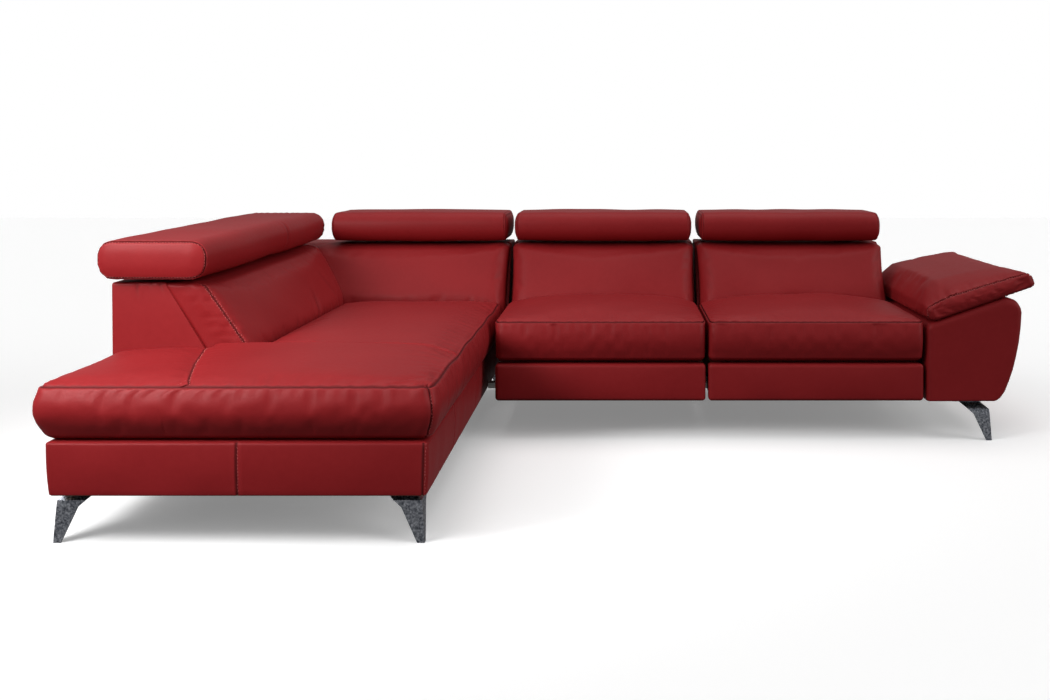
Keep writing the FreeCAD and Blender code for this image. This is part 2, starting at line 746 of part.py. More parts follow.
def relax_seat(n, left, width):
    """One relax seat: the carriage that slides, the footrest on its rails, the reclining back and its headrest."""
    right = left + width
    name = f"relax_{n}"
    ends = ((left, 1), (right, -1))
    save(f"{name}_seat_frame", seat_frame(left, right))

    inner_left = left + seat_board_inset + seat_board
    inner_right = right - seat_board_inset - seat_board
    springs = []
    for i in range(springs_per_seat):
        x = inner_left + (inner_right - inner_left) * (i + 0.5) / springs_per_seat
        start, end = seat_frame_front + seat_board + spring_wire, cross_rear_y - spring_wire
        springs.append(wave_spring(x, start, end, relax_seat_low - soft_gap - spring_wire, 5))
    save(f"{name}_seat_springs", springs)

    middle = (left + right) / 2
    rod = cylinder((0, 1, 0), (middle, cross_rear_y - 6.0, actuator_z), rod_radius, rod_length)
    save(f"{name}_actuator_rod", [rod])

    # The seat cushion's front face lines up with the footrest panel below it.
    seat_rear = relax_front + relax_seat_depth
    stations = []
    for x, inset, crown in drawn_in(left + 3.0, right - 3.0, 26.0, 13.0):
        corners = [
            (relax_front + 4.0 + inset, relax_seat_low),
            (relax_front + inset, seam_z - inset * 0.5),
            (seat_rear, seam_z - inset * 0.5),
            (seat_rear - 6.0, relax_seat_low),
        ]
        stations.append((x, corners, [12.0, 14.0, 24.0, 8.0], [8.0, seat_crown * (0.1 + 0.9 * crown), 0.0, 0.0]))
    save(f"{name}_seat_cushion", [padded_form(stations)])

    # Footrest rails, with a lug and a pin at the front that the panel hangs from
    half = footrest_rail_width / 2
    rail_high = footrest_rail_low + footrest_rail_height
    bar_front = footrest_rail_front
    rails = []
    for edge, inward in ends:
        centre = edge + inward * footrest_rail_inset
        a, b = centre - half, centre + half
        bar = box(a, b, bar_front, bar_front + footrest_rail_length, footrest_rail_low, rail_high)
        lug = slab(
            [
                (bar_front + 1.0, footrest_rail_low),
                (bar_front + 1.0, rail_high),
                (panel_pivot_y + 5.0, panel_pivot_z + 5.0),
                (panel_pivot_y - 3.0, panel_pivot_z + 4.0),
                (panel_pivot_y - 4.0, panel_pivot_z - 8.0),
                (panel_pivot_y + 4.0, footrest_rail_low),
            ],
            a,
            a + panel_ear,
        )
        pin = cylinder((1, 0, 0), (a, panel_pivot_y, panel_pivot_z), panel_pin, footrest_rail_width)
        rails.append(bar.fuse([lug, pin]).removeSplitter())
    tie_y = bar_front + footrest_rail_length - rail_tie - 2.0
    rails.append(
        box(
            left + footrest_rail_inset + half,
            right - footrest_rail_inset - half,
            tie_y,
            tie_y + rail_tie,
            footrest_rail_low + 5.0,
            footrest_rail_low + 25.0,
        )
    )
    save(f"{name}_footrest_rails", rails)

    board_back = relax_front + panel_thickness
    board_front = board_back - panel_board
    panel = [box(left + panel_edge, right - panel_edge, board_front, board_back, panel_low + 8.0, panel_high - 8.0)]
    for edge, inward in ends:
        a = edge + inward * footrest_rail_inset - half + panel_ear + 1.0
        ear = box(a, a + panel_ear, board_back, panel_pivot_y + 7.0, panel_pivot_z - 40.0, panel_pivot_z + 7.0)
        bore = cylinder((1, 0, 0), (a - 1, panel_pivot_y, panel_pivot_z), panel_pin + bore_gap, panel_ear + 2)
        panel.append(ear.cut(bore))
    save(f"{name}_footrest_board", panel)

    stations = []
    for x, inset, _ in drawn_in(left + 2.0, right - 2.0, 14.0, 5.0):
        corners = [
            (relax_front + 3.0 + inset, panel_low + inset * 0.4),
            (relax_front + 3.0 + inset, panel_high - inset * 0.4),
            (board_back, panel_high - inset * 0.4),
            (board_back, panel_low + inset * 0.4),
        ]
        stations.append((x, corners, [7.0, 7.0, 3.0, 3.0], [3.0, 0.0, 0.0, 0.0]))
    pocket = box(
        left + panel_edge - soft_gap,
        right - panel_edge + soft_gap,
        board_front - soft_gap,
        board_back + 5.0,
        panel_low + 8.0 - soft_gap,
        panel_high - 8.0 + soft_gap,
    )
    save(f"{name}_footrest_pad", [padded_form(stations).cut(pocket)])

    # Reclining back
    lo, hi = left + running_gap, right - running_gap
    save(f"{name}_back_cushion", [back_cushion(lo, hi)])
    frame_lo, frame_hi = left + back_board_inset, right - back_board_inset
    frame_rear = back_rear - cover_wall - soft_gap
    top_z = back_top - cover_wall - board_drop
    profile = [
        (frame_face_at(pad_low + 3.0) + soft_gap, pad_low + 3.0),
        (recline_v + 14.0, pad_low + 3.0),
        (frame_rear - 14.0, moving_foot),
        (frame_rear - 14.0, moving_foot + 22.0),
        (frame_rear, moving_foot + 40.0),
        (frame_rear, top_z),
        (frame_face_at(top_z) + soft_gap, top_z),
    ]
    bore = cylinder((1, 0, 0), (left, recline_v, recline_z), recline_pin + bore_gap, width)
    sides = [slab(profile, a, a + board).cut(bore) for a in (frame_lo, frame_hi - board)]
    inner_lo, inner_hi = frame_lo + board, frame_hi - board
    top_front = frame_face_at(top_z) + 2.0
    wing = back_board_inset - cover_wall - 3.0
    rail_z = moving_foot + back_rail_foot
    rails = [
        box(inner_lo, inner_hi, top_front, frame_rear, top_z - board, top_z),
        box(inner_lo, inner_hi, frame_rear - board, frame_rear, rail_z, rail_z + back_rail_width),
        box(frame_lo - wing, frame_lo, top_front, frame_rear, top_z - board, top_z),
        box(frame_hi, frame_hi + wing, top_front, frame_rear, top_z - board, top_z),
    ]
    webs = back_webs(inner_lo, inner_hi, moving_foot + 60.0, top_z - board - 60.0)
    save(f"{name}_back_frame", sides + rails + webs)
    head = (left + headrest_inset, right - headrest_inset)
    rear_foot = rear_panel_top + rear_panel_gap
    save(f"{name}_back_cover", back_cover(lo, hi, moving_foot + 12.0, rear_foot=rear_foot, slots_for=head))
    lo, hi = head
    save(f"{name}_headrest_brackets", headrest_brackets(lo, hi))
    save(f"{name}_headrest_pad", [headrest_pad(lo, hi)])
    save(f"{name}_headrest_frame", headrest_frame(lo, hi))


def relax_bases():
    """What stays still under the relax seats: steel rails, the rear panels and the actuators."""
    frames = []
    panels = []
    actuators = []
    for left, width in zip(relax_left, relax_width):
        right = left + width
        rail_front, rail_rear = relax_front + rail_front_inset, back_rear - cover_wall - soft_gap
        z0, z1 = rail_low, rail_low + rail_height
        a0, a1 = left + rail_inset, left + rail_inset + rail_width
        b0, b1 = right - rail_inset - rail_width, right - rail_inset
        frames.append(square_tube(a0, a1, rail_front, rail_rear, z0, z1, rail_wall, "y"))
        frames.append(square_tube(b0, b1, rail_front, rail_rear, z0, z1, rail_wall, "y"))
        rear_tube_y = rail_rear - 60.0
        for y in (rail_front + 10.0, rear_tube_y):
            frames.append(square_tube(a1, b0, y, y + rail_width, z0, z0 + cross_tube, rail_wall, "x"))
        panels.append(box(left + 1.0, right - 1.0, back_rear - cover_wall, back_rear, leg_height, rear_panel_top))

        middle = (left + right) / 2
        tube_front = seat_frame_rear + 25.0
        tube_rear = rear_tube_y - soft_gap
        length = tube_rear - tube_front
        body = cylinder((0, 1, 0), (middle, tube_front, actuator_z), actuator_radius, length)
        bore = cylinder((0, 1, 0), (middle, tube_front - 1, actuator_z), rod_radius + bore_gap, length - 23.0)
        motor_low, motor_high = actuator_z - 16.0, actuator_z + 16.0
        motor = box(middle + 12.0, middle + 62.0, tube_rear - 110.0, tube_rear - 20.0, motor_low, motor_high)
        actuators.append(body.fuse(motor).cut(bore))
    save("relax_base_frames", frames)
    save("relax_rear_panels", panels)
    save("relax_actuators", actuators)


def arm_outline(grow, y):
    """The arm's outside in (x, z), drawn in by grow: a straight inner side, a slope, a round shoulder, a bowed flank."""
    shoulder_z = arm_top_inner + (arm_shoulder - arm_inner) * math.tan(math.radians(arm_slope))
    flank_x = (arm_outer_top + arm_outer_bottom) / 2 + 17.0
    p = [
        Vector(arm_inner + grow, y, leg_height),
        Vector(arm_inner + grow, y, arm_top_inner - grow),
        Vector(arm_shoulder - grow * 0.4, y, shoulder_z - grow),
        Vector(arm_outer_top - grow, y, shoulder_z - 55.0),
        Vector(arm_outer_bottom - grow, y, leg_height),
    ]
    shoulder = Vector(arm_shoulder + 50.0 - grow * 0.8, y, shoulder_z - 12.0 - grow * 0.9)
    flank = Vector(flank_x - grow, y, (shoulder_z - 55.0 + leg_height) / 2)
    edges = [
        Part.LineSegment(p[0], p[1]).toShape(),
        Part.LineSegment(p[1], p[2]).toShape(),
        Part.Arc(p[2], shoulder, p[3]).toShape(),
        Part.Arc(p[3], flank, p[4]).toShape(),
        Part.LineSegment(p[4], p[0]).toShape(),
    ]
    return Part.Wire(edges)


# The folding pad turns about the middle of its round inner edge.
pad_slope = math.radians(arm_slope)
pad_along = Vector(math.cos(pad_slope), 0, math.sin(pad_slope))
pad_up = Vector(-math.sin(pad_slope), 0, math.cos(pad_slope))
pad_rest_gap = 1.2
pad_hinge_x = arm_inner + pad_nose_radius - 2.0
pad_hinge_z = (
    arm_top_inner
    + (pad_hinge_x - arm_inner) * math.tan(pad_slope)
    + (pad_nose_radius + pad_rest_gap) / math.cos(pad_slope)
)
pad_hinge = Vector(pad_hinge_x, 0, pad_hinge_z)
pad_reach = (pad_edge - pad_hinge_x - 2.6) / math.cos(pad_slope)
pad_board_low = -8.0
pad_board_high = 4.0
pad_board_start = 60.0
pad_board_end = 300.0
pad_hinge_inset = 190.0
pad_bracket = 5.0
pad_foot_reach = 40.0


def in_pad(a, u, y=0.0):
    """A point given along the pad's slope and square to it, from the hinge."""
    v = pad_hinge + pad_along * a + pad_up * u
    return Vector(v.x, y, v.z)


def pad_block(a0, a1, u0, u1, y0, y1):
    block = box(a0, a1, y0, y1, u0, u1)
    return block.transformed(Placement(pad_hinge, Rotation(Vector(0, -1, 0), arm_slope)).toMatrix())


def arm_pad_outline(y, inset, crown):
    """The pad's section: a round inner edge, an inner side leaning out, a crowned top and a flat underside."""
    r = pad_nose_radius - inset * 0.5
    under = in_pad(0.0, -r, y)
    nose_left = in_pad(-r * 0.97, -r * 0.1, y)
    nose_top = in_pad(-r * 0.5, r * 0.86, y)
    ridge = in_pad(20.0 + 53.0 * crown + inset, 24.5 + 51.0 * crown - inset * 0.5, y)
    edge_top = in_pad(pad_reach - 18.0 + 11.0 * crown - inset, 8.0 + 18.0 * crown - inset * 0.4, y)
    edge_low = in_pad(pad_reach - 26.0 - inset, -r, y)
    side = (nose_top + ridge) * 0.5 + pad_up * (2.0 + 3.0 * crown) - pad_along * (1.0 + 3.0 * crown)
    top = (ridge + edge_top) * 0.5 + pad_up * (3.0 + 12.0 * crown)
    edge = in_pad(pad_reach - inset, -8.0, y)
    edges = [
        Part.Arc(under, nose_left, nose_top).toShape(),
        Part.Arc(nose_top, side, ridge).toShape(),
        Part.Arc(ridge, top, edge_top).toShape(),
        Part.Arc(edge_top, edge, edge_low).toShape(),
        Part.LineSegment(edge_low, under).toShape(),
    ]
    return Part.Wire(edges)


def arm():
    """The arm: a board frame inside a padded cover, and the folding pad on its sloping top."""
    steps = [(6.0, 0.0), (1.5, 6.0), (0.0, 18.0)]
    wires = [arm_outline(grow, arm_front + y) for grow, y in steps]
    wires += [arm_outline(grow, arm_rear - y) for grow, y in ((0.0, 10.0), (3.0, 0.0))]
    cover = Part.makeLoft(wires, True, True)
    inside = Part.Face(arm_outline(arm_wall, arm_front + arm_wall))
    inside = inside.extrude(Vector(0, arm_rear - arm_front - 2 * arm_wall, 0))
    cover = cover.cut(inside)

    low_x = arm_inner + arm_wall + soft_gap
    frame_y0, frame_y1 = arm_front + arm_wall + soft_gap, arm_rear - arm_wall - soft_gap
    frame_x1 = arm_outer_bottom - arm_wall - 8.0
    top_low = arm_top_inner - arm_wall - 2.0
    frame = [
        box(low_x, low_x + board, frame_y0, frame_y1, leg_height, top_low),
        box(frame_x1 - board, frame_x1, frame_y0, frame_y1, leg_height, top_low),
        box(low_x + board, frame_x1 - board, frame_y0, frame_y0 + board, leg_height, top_low),
        box(low_x + board, frame_x1 - board, frame_y1 - board, frame_y1, leg_height, top_low),
        box(low_x + board, frame_x1 - board, frame_y0 + board, frame_y1 - board, top_low - board, top_low),
    ]
    save("arm_frame", frame)

    outlines = [arm_pad_outline(y, inset, crown) for y, inset, crown in drawn_in(pad_front, pad_rear, 20.0, 9.0)]
    pad = Part.makeLoft(outlines, True, True)
    board_front, board_back = pad_front + 40.0, pad_rear - 40.0
    cuts = [
        pad_block(
            pad_board_start - soft_gap,
            pad_board_end + soft_gap,
            pad_board_low - soft_gap,
            pad_board_high + soft_gap,
            board_front - soft_gap,
            board_back + soft_gap,
        )
    ]
    pad_frame = [pad_block(pad_board_start, pad_board_end, pad_board_low, pad_board_high, board_front, board_back)]
    brackets = []
    slots = []
    half = pad_bracket / 2
    foot_z = top_low + soft_gap
    foot_x = low_x + board + pad_foot_reach
    for y in (pad_front + pad_hinge_inset, pad_rear - pad_hinge_inset):
        cuts.append(pad_block(-14.0, 80.0, -pad_nose_radius - 8.0, 14.0, y - 15.0, y + 15.0))
        for side in (-1, 1):
            y0, y1 = sorted((y + side * (half + 1.0), y + side * (half + 1.0 + ear_plate)))
            ear = pad_block(0.0, pad_board_start + 16.0, pad_board_high, pad_board_high + 7.0, y0, y1)
            hub = cylinder((0, 1, 0), (pad_hinge_x, y0, pad_hinge_z), 11.0, ear_plate)
            bore = cylinder((0, 1, 0), (pad_hinge_x, y0 - 1, pad_hinge_z), pin_radius + bore_gap, ear_plate + 2)
            pad_frame.append(ear.fuse(hub).cut(bore))
        outline = [
            (foot_x - 18.0, foot_z),
            (foot_x + 8.0, foot_z),
            (pad_hinge_x + 44.0, pad_hinge_z + 4.0),
            (pad_hinge_x, pad_hinge_z + 8.0),
            (pad_hinge_x, pad_hinge_z - 8.0),
            (pad_hinge_x + 26.0, pad_hinge_z - 8.0),
        ]
        plate = slab(outline, y - half, y + half, "xz")
        foot = box(foot_x - 30.0, foot_x + 30.0, y - 18.0, y + 18.0, foot_z, foot_z + 3.0)
        pin_half = half + 1.0 + ear_plate + 1.0
        pin = cylinder((0, 1, 0), (pad_hinge_x, y - pin_half, pad_hinge_z), pin_radius, 2 * pin_half)
        hub = cylinder((0, 1, 0), (pad_hinge_x, y - half, pad_hinge_z), 10.0, pad_bracket)
        brackets.append(plate.fuse([foot, pin, hub]).removeSplitter())
        slots.append(box(arm_inner + 12.0, foot_x + 32.0, y - 20.0, y + 20.0, foot_z - 1.0, pad_hinge_z + 2 * pad_nose_radius))
    save("arm_pad", [cut_all(pad, cuts)])
    save("arm_pad_frame", pad_frame)
    save("arm_pad_brackets", brackets)
    save("arm_cover", [cut_all(cover, slots)])


def leg(foot_x, foot_y, toward_x, toward_y):
    """A folded sheet leg: two wings that meet at the outer corner, splayed at the foot, under a square plate."""
    z_top = leg_height - leg_plate
    stations = (
        (0.0, 0.0, leg_foot_width),
        (leg_knee, leg_wall, leg_knee_width),
        (leg_hip, leg_wall + 2.0, leg_hip_width),
        (z_top, leg_wall + 28.0, leg_top_width),
    )
    wires = []
    for z, corner, end in stations:
        inner = corner + leg_wall
        outline = [(corner, corner), (end, corner), (end, inner), (inner, inner), (inner, end), (corner, end)]
        points = [Vector(foot_x + toward_x * a, foot_y + toward_y * b, z) for a, b in [*outline, outline[0]]]
        wires.append(Part.makePolygon(points))
    wings = Part.makeLoft(wires, True, True)
    x0, x1 = sorted((foot_x + toward_x * 30.0, foot_x + toward_x * (30.0 + leg_plate_size)))
    y0, y1 = sorted((foot_y + toward_y * 30.0, foot_y + toward_y * (30.0 + leg_plate_size)))
    plate = box(x0, x1, y0, y1, z_top, leg_height - soft_gap)
    leg_shape = wings.fuse(plate)
    screws = []
    for x, y in ((x0 + 14.0, y0 + 14.0), (x1 - 14.0, y0 + 14.0), (x0 + 14.0, y1 - 14.0), (x1 - 14.0, y1 - 14.0)):
        if abs(x - foot_x) + abs(y - foot_y) < 100.0:
            continue
        leg_shape = leg_shape.cut(cylinder((0, 0, 1), (x, y, z_top - 1), 2.6, leg_plate + 2))
        head = cylinder((0, 0, 1), (x, y, z_top - 2.5), 4.5, 2.5 - bore_gap)
        shank = cylinder((0, 0, 1), (x, y, z_top - 2.5), 2.5, leg_plate + 2.0)
        screws.append(head.fuse(shank).removeSplitter())
    return leg_shape.removeSplitter(), screws


def legs_and_feet():
    """Six folded legs with their screws, plain feet set well back, and the plates that join the modules."""
    leg_screws = []
    feet_at = {
        "leg_front_left": (lounge_left - 5.0, lounge_front + 53.0, 1, 1),
        "leg_front_inner": (lounge_right - 18.0, lounge_front + 53.0, -1, 1),
        "leg_rear_left": (lounge_left - 5.0, back_rear - 20.0, 1, -1),
        "leg_rear_inner": (lounge_right - 18.0, back_rear - 20.0, -1, -1),
        "leg_arm_front": (arm_outer_bottom - 36.0, arm_front, -1, 1),
        "leg_arm_rear": (arm_outer_bottom - 36.0, arm_rear - 5.0, -1, -1),
    }
    for name, place in feet_at.items():
        shape, screws = leg(*place)
        save(name, [shape])
        leg_screws += screws
    save("leg_screws", leg_screws)

    feet = []
    rail_rear = back_rear - cover_wall - soft_gap
    for left, width in zip(relax_left, relax_width):
        for x in (left + rail_inset + rail_width / 2, left + width - rail_inset - rail_width / 2):
            base = Vector(x, rail_rear - 90.0, 0)
            feet.append(Part.makeCone(support_radius * 0.7, support_radius, rail_low - soft_gap, base))
    save("support_feet", feet)

    # Bolted plates between neighbouring modules, one in front and one behind
    z0, z1 = rail_low + 2.0, rail_low + 22.0
    joints = [
        (lounge_right, relax_left[0] + rail_inset),
        (relax_left[0] + relax_width[0] - rail_inset, relax_left[1] + rail_inset),
        (relax_left[1] + relax_width[1] - rail_inset, arm_inner),
    ]
    plates = []
    for a, b in joints:
        for y in (relax_front + joint_front, back_rear - joint_rear):
            plates.append(box(a + soft_gap, b - soft_gap, y, y + 46.0, z0, z1))
    save("module_brackets", plates)

    inlets = []
    for left, width in zip(relax_left, relax_width):
        x, z = left + width - 110.0, leg_height + 57.0
        body = box(x - 17.0, x + 17.0, back_rear + soft_gap, back_rear + 4.0, z - 17.0, z + 17.0)
        socket = cylinder((0, 1, 0), (x, back_rear + 1.2, z), 5.5, 6.0)
        pin = cylinder((0, 1, 0), (x, back_rear + 1.2, z), 1.2, 2.8)
        inlets.append(body.cut(socket).fuse(pin).removeSplitter())
    save("power_inlets", inlets)


made = {}


def main():
    os.makedirs("parts", exist_ok=True)
    lounge_base()
    lounge_seat()
    side_and_corner_backs()
    relax_bases()
    for n, (left, width) in enumerate(zip(relax_left, relax_width), 1):
        relax_seat(n, left, width)
    arm()
    legs_and_feet()
    rows = made.values()
    print("X", min(r[0] for r in rows), max(r[1] for r in rows))
    print("Y", min(r[2] for r in rows), max(r[3] for r in rows))
    print("Z", min(r[4] for r in rows), max(r[5] for r in rows))
    print(len(made), "nodes,", sum(r[6] for r in rows), "solids")


main()
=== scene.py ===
import math

import bpy
import numpy as np
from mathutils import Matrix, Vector
from mathutils.bvhtree import BVHTree


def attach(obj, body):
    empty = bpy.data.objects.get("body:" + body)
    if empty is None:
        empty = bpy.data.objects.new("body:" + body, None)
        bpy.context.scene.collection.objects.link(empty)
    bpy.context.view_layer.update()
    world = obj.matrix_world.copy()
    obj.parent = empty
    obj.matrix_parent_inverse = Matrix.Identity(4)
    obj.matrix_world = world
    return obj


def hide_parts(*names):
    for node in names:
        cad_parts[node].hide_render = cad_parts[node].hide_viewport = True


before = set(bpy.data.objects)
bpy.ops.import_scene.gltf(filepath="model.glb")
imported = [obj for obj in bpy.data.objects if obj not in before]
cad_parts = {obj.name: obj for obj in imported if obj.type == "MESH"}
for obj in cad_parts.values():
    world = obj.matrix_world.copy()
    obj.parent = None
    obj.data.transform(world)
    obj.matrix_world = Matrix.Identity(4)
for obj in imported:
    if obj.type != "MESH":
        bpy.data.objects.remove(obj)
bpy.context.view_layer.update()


# The studio: a pale floor and white surround, three wide soft lights, two softboxes and the camera.
# The floor looks white in front of the camera and keeps the shadow under the sofa.
class Value:
    """One output of a shader node. Sums of values add their own Math nodes."""

    def __init__(self, finish, socket):
        self.finish, self.socket = finish, socket

    def maths(self, operation, first, second):
        return self.finish.node("Math", {"operation": operation}, {0: first, 1: second})

    def __add__(self, other):
        return self.maths("ADD", self, other)

    def __sub__(self, other):
        return self.maths("SUBTRACT", self, other)

    def __rsub__(self, other):
        return self.maths("SUBTRACT", other, self)

    def __mul__(self, other):
        return self.maths("MULTIPLY", self, other)

    __radd__ = __add__
    __rmul__ = __mul__


class Finish:
    """A material, or the surround, that is mixed from nodes one at a time."""

    def __init__(self, name, tree=None):
        if tree is None:
            self.material = bpy.data.materials.new(name)
            self.material.use_nodes = True
            tree = self.material.node_tree
        self.tree = tree
        tree.nodes.clear()

    def node(self, kind, settings=None, sockets=None, out=0):
        made = self.tree.nodes.new("ShaderNode" + kind)
        for key, value in (settings or {}).items():
            if key == "stops":
                ramp = made.color_ramp
                while len(ramp.elements) < len(value):
                    ramp.elements.new(0.5)
                for element, (place, colour) in zip(ramp.elements, value):
                    element.position, element.color = place, (*colour, 1)
            else:
                setattr(made, key, value)
        for key, value in (sockets or {}).items():
            if isinstance(value, Value):
                self.tree.links.new(value.socket, made.inputs[key])
            else:
                made.inputs[key].default_value = value
        return Value(self, made.outputs[out]) if made.outputs else None

    def blend(self, share, first, second):
        """A mix of two colours, or of a colour and a linked one."""
        pair = [(*c, 1) if isinstance(c, tuple) else c for c in (first, second)]
        return self.node("Mix", {"data_type": "RGBA"}, {0: share, 6: pair[0], 7: pair[1]}, out=2)

    def noise(self, scale, detail=3.0, roughness=0.5, place=None):
        place = place or self.node("TexCoord", out="Object")
        sockets = {"Vector": place, "Scale": scale, "Detail": detail, "Roughness": roughness}
        return self.node("TexNoise", None, sockets)

    def bump(self, height, strength, depth, under=None):
        sockets = {"Strength": strength, "Distance": depth, "Height": height}
        if under is not None:
            sockets["Normal"] = under
        return self.node("Bump", None, sockets)

    def surface(self, **sockets):
        """The finished surface: the main shader with these sockets, led to the output."""
        named = {key.replace("_", " "): value for key, value in sockets.items()}
        shader = self.node("BsdfPrincipled", None, named)
        self.node("OutputMaterial", None, {"Surface": shader})
        return self.material


white = (1, 1, 1, 1)
floor_seen, floor_bounce = (0.95, 0.95, 0.95), (0.08, 0.08, 0.08)
floor_glow, glow_in_mirrors = 0.22, 0.10
floor_finish = Finish("pale_floor")
seen = floor_finish.node("LightPath", out="Is Camera Ray")
mirrored = floor_finish.node("LightPath", out="Is Glossy Ray")
lit = floor_finish.node("BsdfDiffuse", None, {"Color": floor_finish.blend(seen, floor_bounce, floor_seen)})
strength = seen * floor_glow + mirrored * glow_in_mirrors
glow = floor_finish.node("Emission", None, {"Color": white, "Strength": strength})
both = floor_finish.node("AddShader", None, {0: lit, 1: glow})
floor_finish.node("OutputMaterial", None, {"Surface": both})

floor_mesh = bpy.data.meshes.new("floor")
floor_half = 14.0
corners = [(x * floor_half, y * floor_half, 0) for x, y in ((-1, -1), (1, -1), (1, 1), (-1, 1))]
floor_mesh.from_pydata(corners, [], [(0, 1, 2, 3)])
floor_mesh.materials.append(floor_finish.material)
floor = bpy.data.objects.new("floor", floor_mesh)
bpy.context.scene.collection.objects.link(floor)

surround = bpy.data.worlds.new("surround")
surround.use_nodes = True
bpy.context.scene.world = surround
sky = Finish("surround", surround.node_tree)
seen = sky.node("LightPath", out="Is Camera Ray")
mirrored = sky.node("LightPath", out="Is Glossy Ray")
room_light = 0.22
strength = room_light + seen * (1 - room_light) + mirrored * glow_in_mirrors
around = sky.node("Background", None, {"Color": white, "Strength": strength})
sky.node("OutputWorld", None, {"Surface": around})

softbox_spread = math.radians(80)
lamps = [
    ("front_left_light", "SUN", (-3.6, -3.2, 3.6), (0.0, 0.0, 0.0), 45, 0.65),
    ("front_right_light", "SUN", (5.4, -1.9, 2.4), (0.0, 0.0, 0.0), 35, 1.05),
    ("top_light", "SUN", (0.3, 0.3, 4.2), (0.0, 0.1, 0.0), 50, 1.00),
    ("left_softbox", "AREA", (-2.0, -1.75, 1.55), (-1.25, -0.54, 0.55), 0.9, 9.5),
    ("lounge_softbox", "AREA", (-0.9, -1.5, 2.3), (-0.9, -0.7, 0.44), 1.2, 1.5),
]
for name, kind, place, aim, size, power in lamps:
    lamp = bpy.data.lights.new(name, kind)
    if kind == "SUN":
        lamp.angle, lamp.energy = math.radians(size), power
    else:
        lamp.shape, lamp.size, lamp.energy, lamp.spread = "SQUARE", size, power, softbox_spread
    holder = bpy.data.objects.new(name, lamp)
    holder.location = place
    holder.rotation_euler = (Vector(aim) - Vector(place)).to_track_quat("-Z", "Y").to_euler()
    bpy.context.scene.collection.objects.link(holder)

camera_pitch_down = 1.089
camera_data = bpy.data.cameras.new("camera")
camera_data.lens, camera_data.sensor_width = 38.69, 36.0
camera_data.shift_x, camera_data.shift_y = -0.0906, -0.1658
camera = bpy.data.objects.new("camera", camera_data)
camera.location = (0.0355, -3.8475, 1.004)
camera.rotation_euler = (math.radians(90 - camera_pitch_down), 0, 0)
bpy.context.scene.collection.objects.link(camera)
bpy.context.scene.camera = camera
bpy.context.scene.view_settings.view_transform = "Standard"


# The carcass: beech plywood boards for the base, the backs, the arm and the pads' cores.
# They are sawn and screwed together before any padding goes on.
def finish_slot(slot, material):
    """Gives every solid piece that is made of one material its finish."""
    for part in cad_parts.values():
        for place in part.material_slots:
            if place.material and place.material.name.split(".")[0] == slot:
                place.material = material


board = Finish("beech_plywood")
board_place = board.node("TexCoord", out="Object")
along_grain = board.node("Mapping", None, {"Vector": board_place, "Scale": (1.2, 9, 60)})
grain = board.noise(3.0, 6.0, 0.6, along_grain)
board_colour = board.node(
    "ValToRGB",
    {"stops": [(0.25, (0.46, 0.31, 0.17)), (0.55, (0.60, 0.43, 0.26)), (0.8, (0.68, 0.52, 0.34))]},
    {"Fac": grain},
)
board_material = board.surface(
    Base_Color=board_colour, Roughness=0.55 + grain * 0.2, Normal=board.bump(grain, 0.2, 0.0006)
)
finish_slot("frame_board", board_material)
headrest_cores = [f"{place}_headrest_frame" for place in ("lounge", "corner", "relax_1", "relax_2")]
for name in (*headrest_cores, "arm_pad_frame"):
    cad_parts[name].material_slots[0].material = board_material


# The works: zinc plated rails and brackets, ground rods, drawn wire springs and the lifters.
# All are bought in, bolted to the boards, and mostly hidden by the leather.
def metal(name, colour, roughness, scratch_scale, depth):
    """A bare metal with fine scratches drawn out along its height and duller patches."""
    made = Finish(name)
    place = made.node("TexCoord", out="Object")
    stretched = made.node("Mapping", None, {"Vector": place, "Scale": (1, 1, 8)})
    marks = made.noise(scratch_scale, 4.0, 0.6, stretched)
    dull = made.noise(14.0, 3.0, 0.5, place)
    worn = made.blend(dull, tuple(c * 0.72 for c in colour), colour)
    return made.surface(
        Base_Color=worn,
        Metallic=1.0,
        Roughness=roughness + marks * 0.18,
        Normal=made.bump(marks, 0.15, depth),
    )


zinc = metal("zinc_plate", (0.62, 0.62, 0.60), 0.34, 55.0, 0.0003)
ground_rod = metal("ground_rod", (0.66, 0.67, 0.68), 0.18, 120.0, 0.0001)
spring_wire = metal("drawn_wire", (0.35, 0.34, 0.32), 0.4, 160.0, 0.0001)
coated = Finish("black_powder_coat")
speckle = coated.noise(420.0, 2.0)
coated_material = coated.surface(
    Base_Color=coated.blend(speckle, (0.022, 0.022, 0.025), (0.045, 0.045, 0.048)),
    Roughness=0.42 + speckle * 0.2,
    Normal=coated.bump(speckle, 0.25, 0.0003),
)
moulded = Finish("black_plastic")
pits = moulded.noise(700.0, 2.0)
moulded_material = moulded.surface(
    Base_Color=moulded.blend(pits, (0.014, 0.014, 0.014), (0.03, 0.03, 0.03)),
    Roughness=0.5 + pits * 0.15,
    Normal=moulded.bump(pits, 0.3, 0.0002),
)
cloth = Finish("spun_cloth")
fibres = cloth.noise(900.0, 5.0, 0.7)
cloth_material = cloth.surface(
    Base_Color=cloth.blend(fibres, (0.03, 0.03, 0.032), (0.08, 0.08, 0.083)),
    Roughness=0.95,
    Normal=cloth.bump(fibres, 0.5, 0.0006),
)
finish_slot("zinc_steel", zinc)
finish_slot("rod_steel", ground_rod)
finish_slot("spring_steel", spring_wire)
finish_slot("black_steel", coated_material)
finish_slot("black_plastic", moulded_material)
finish_slot("dust_cloth", cloth_material)


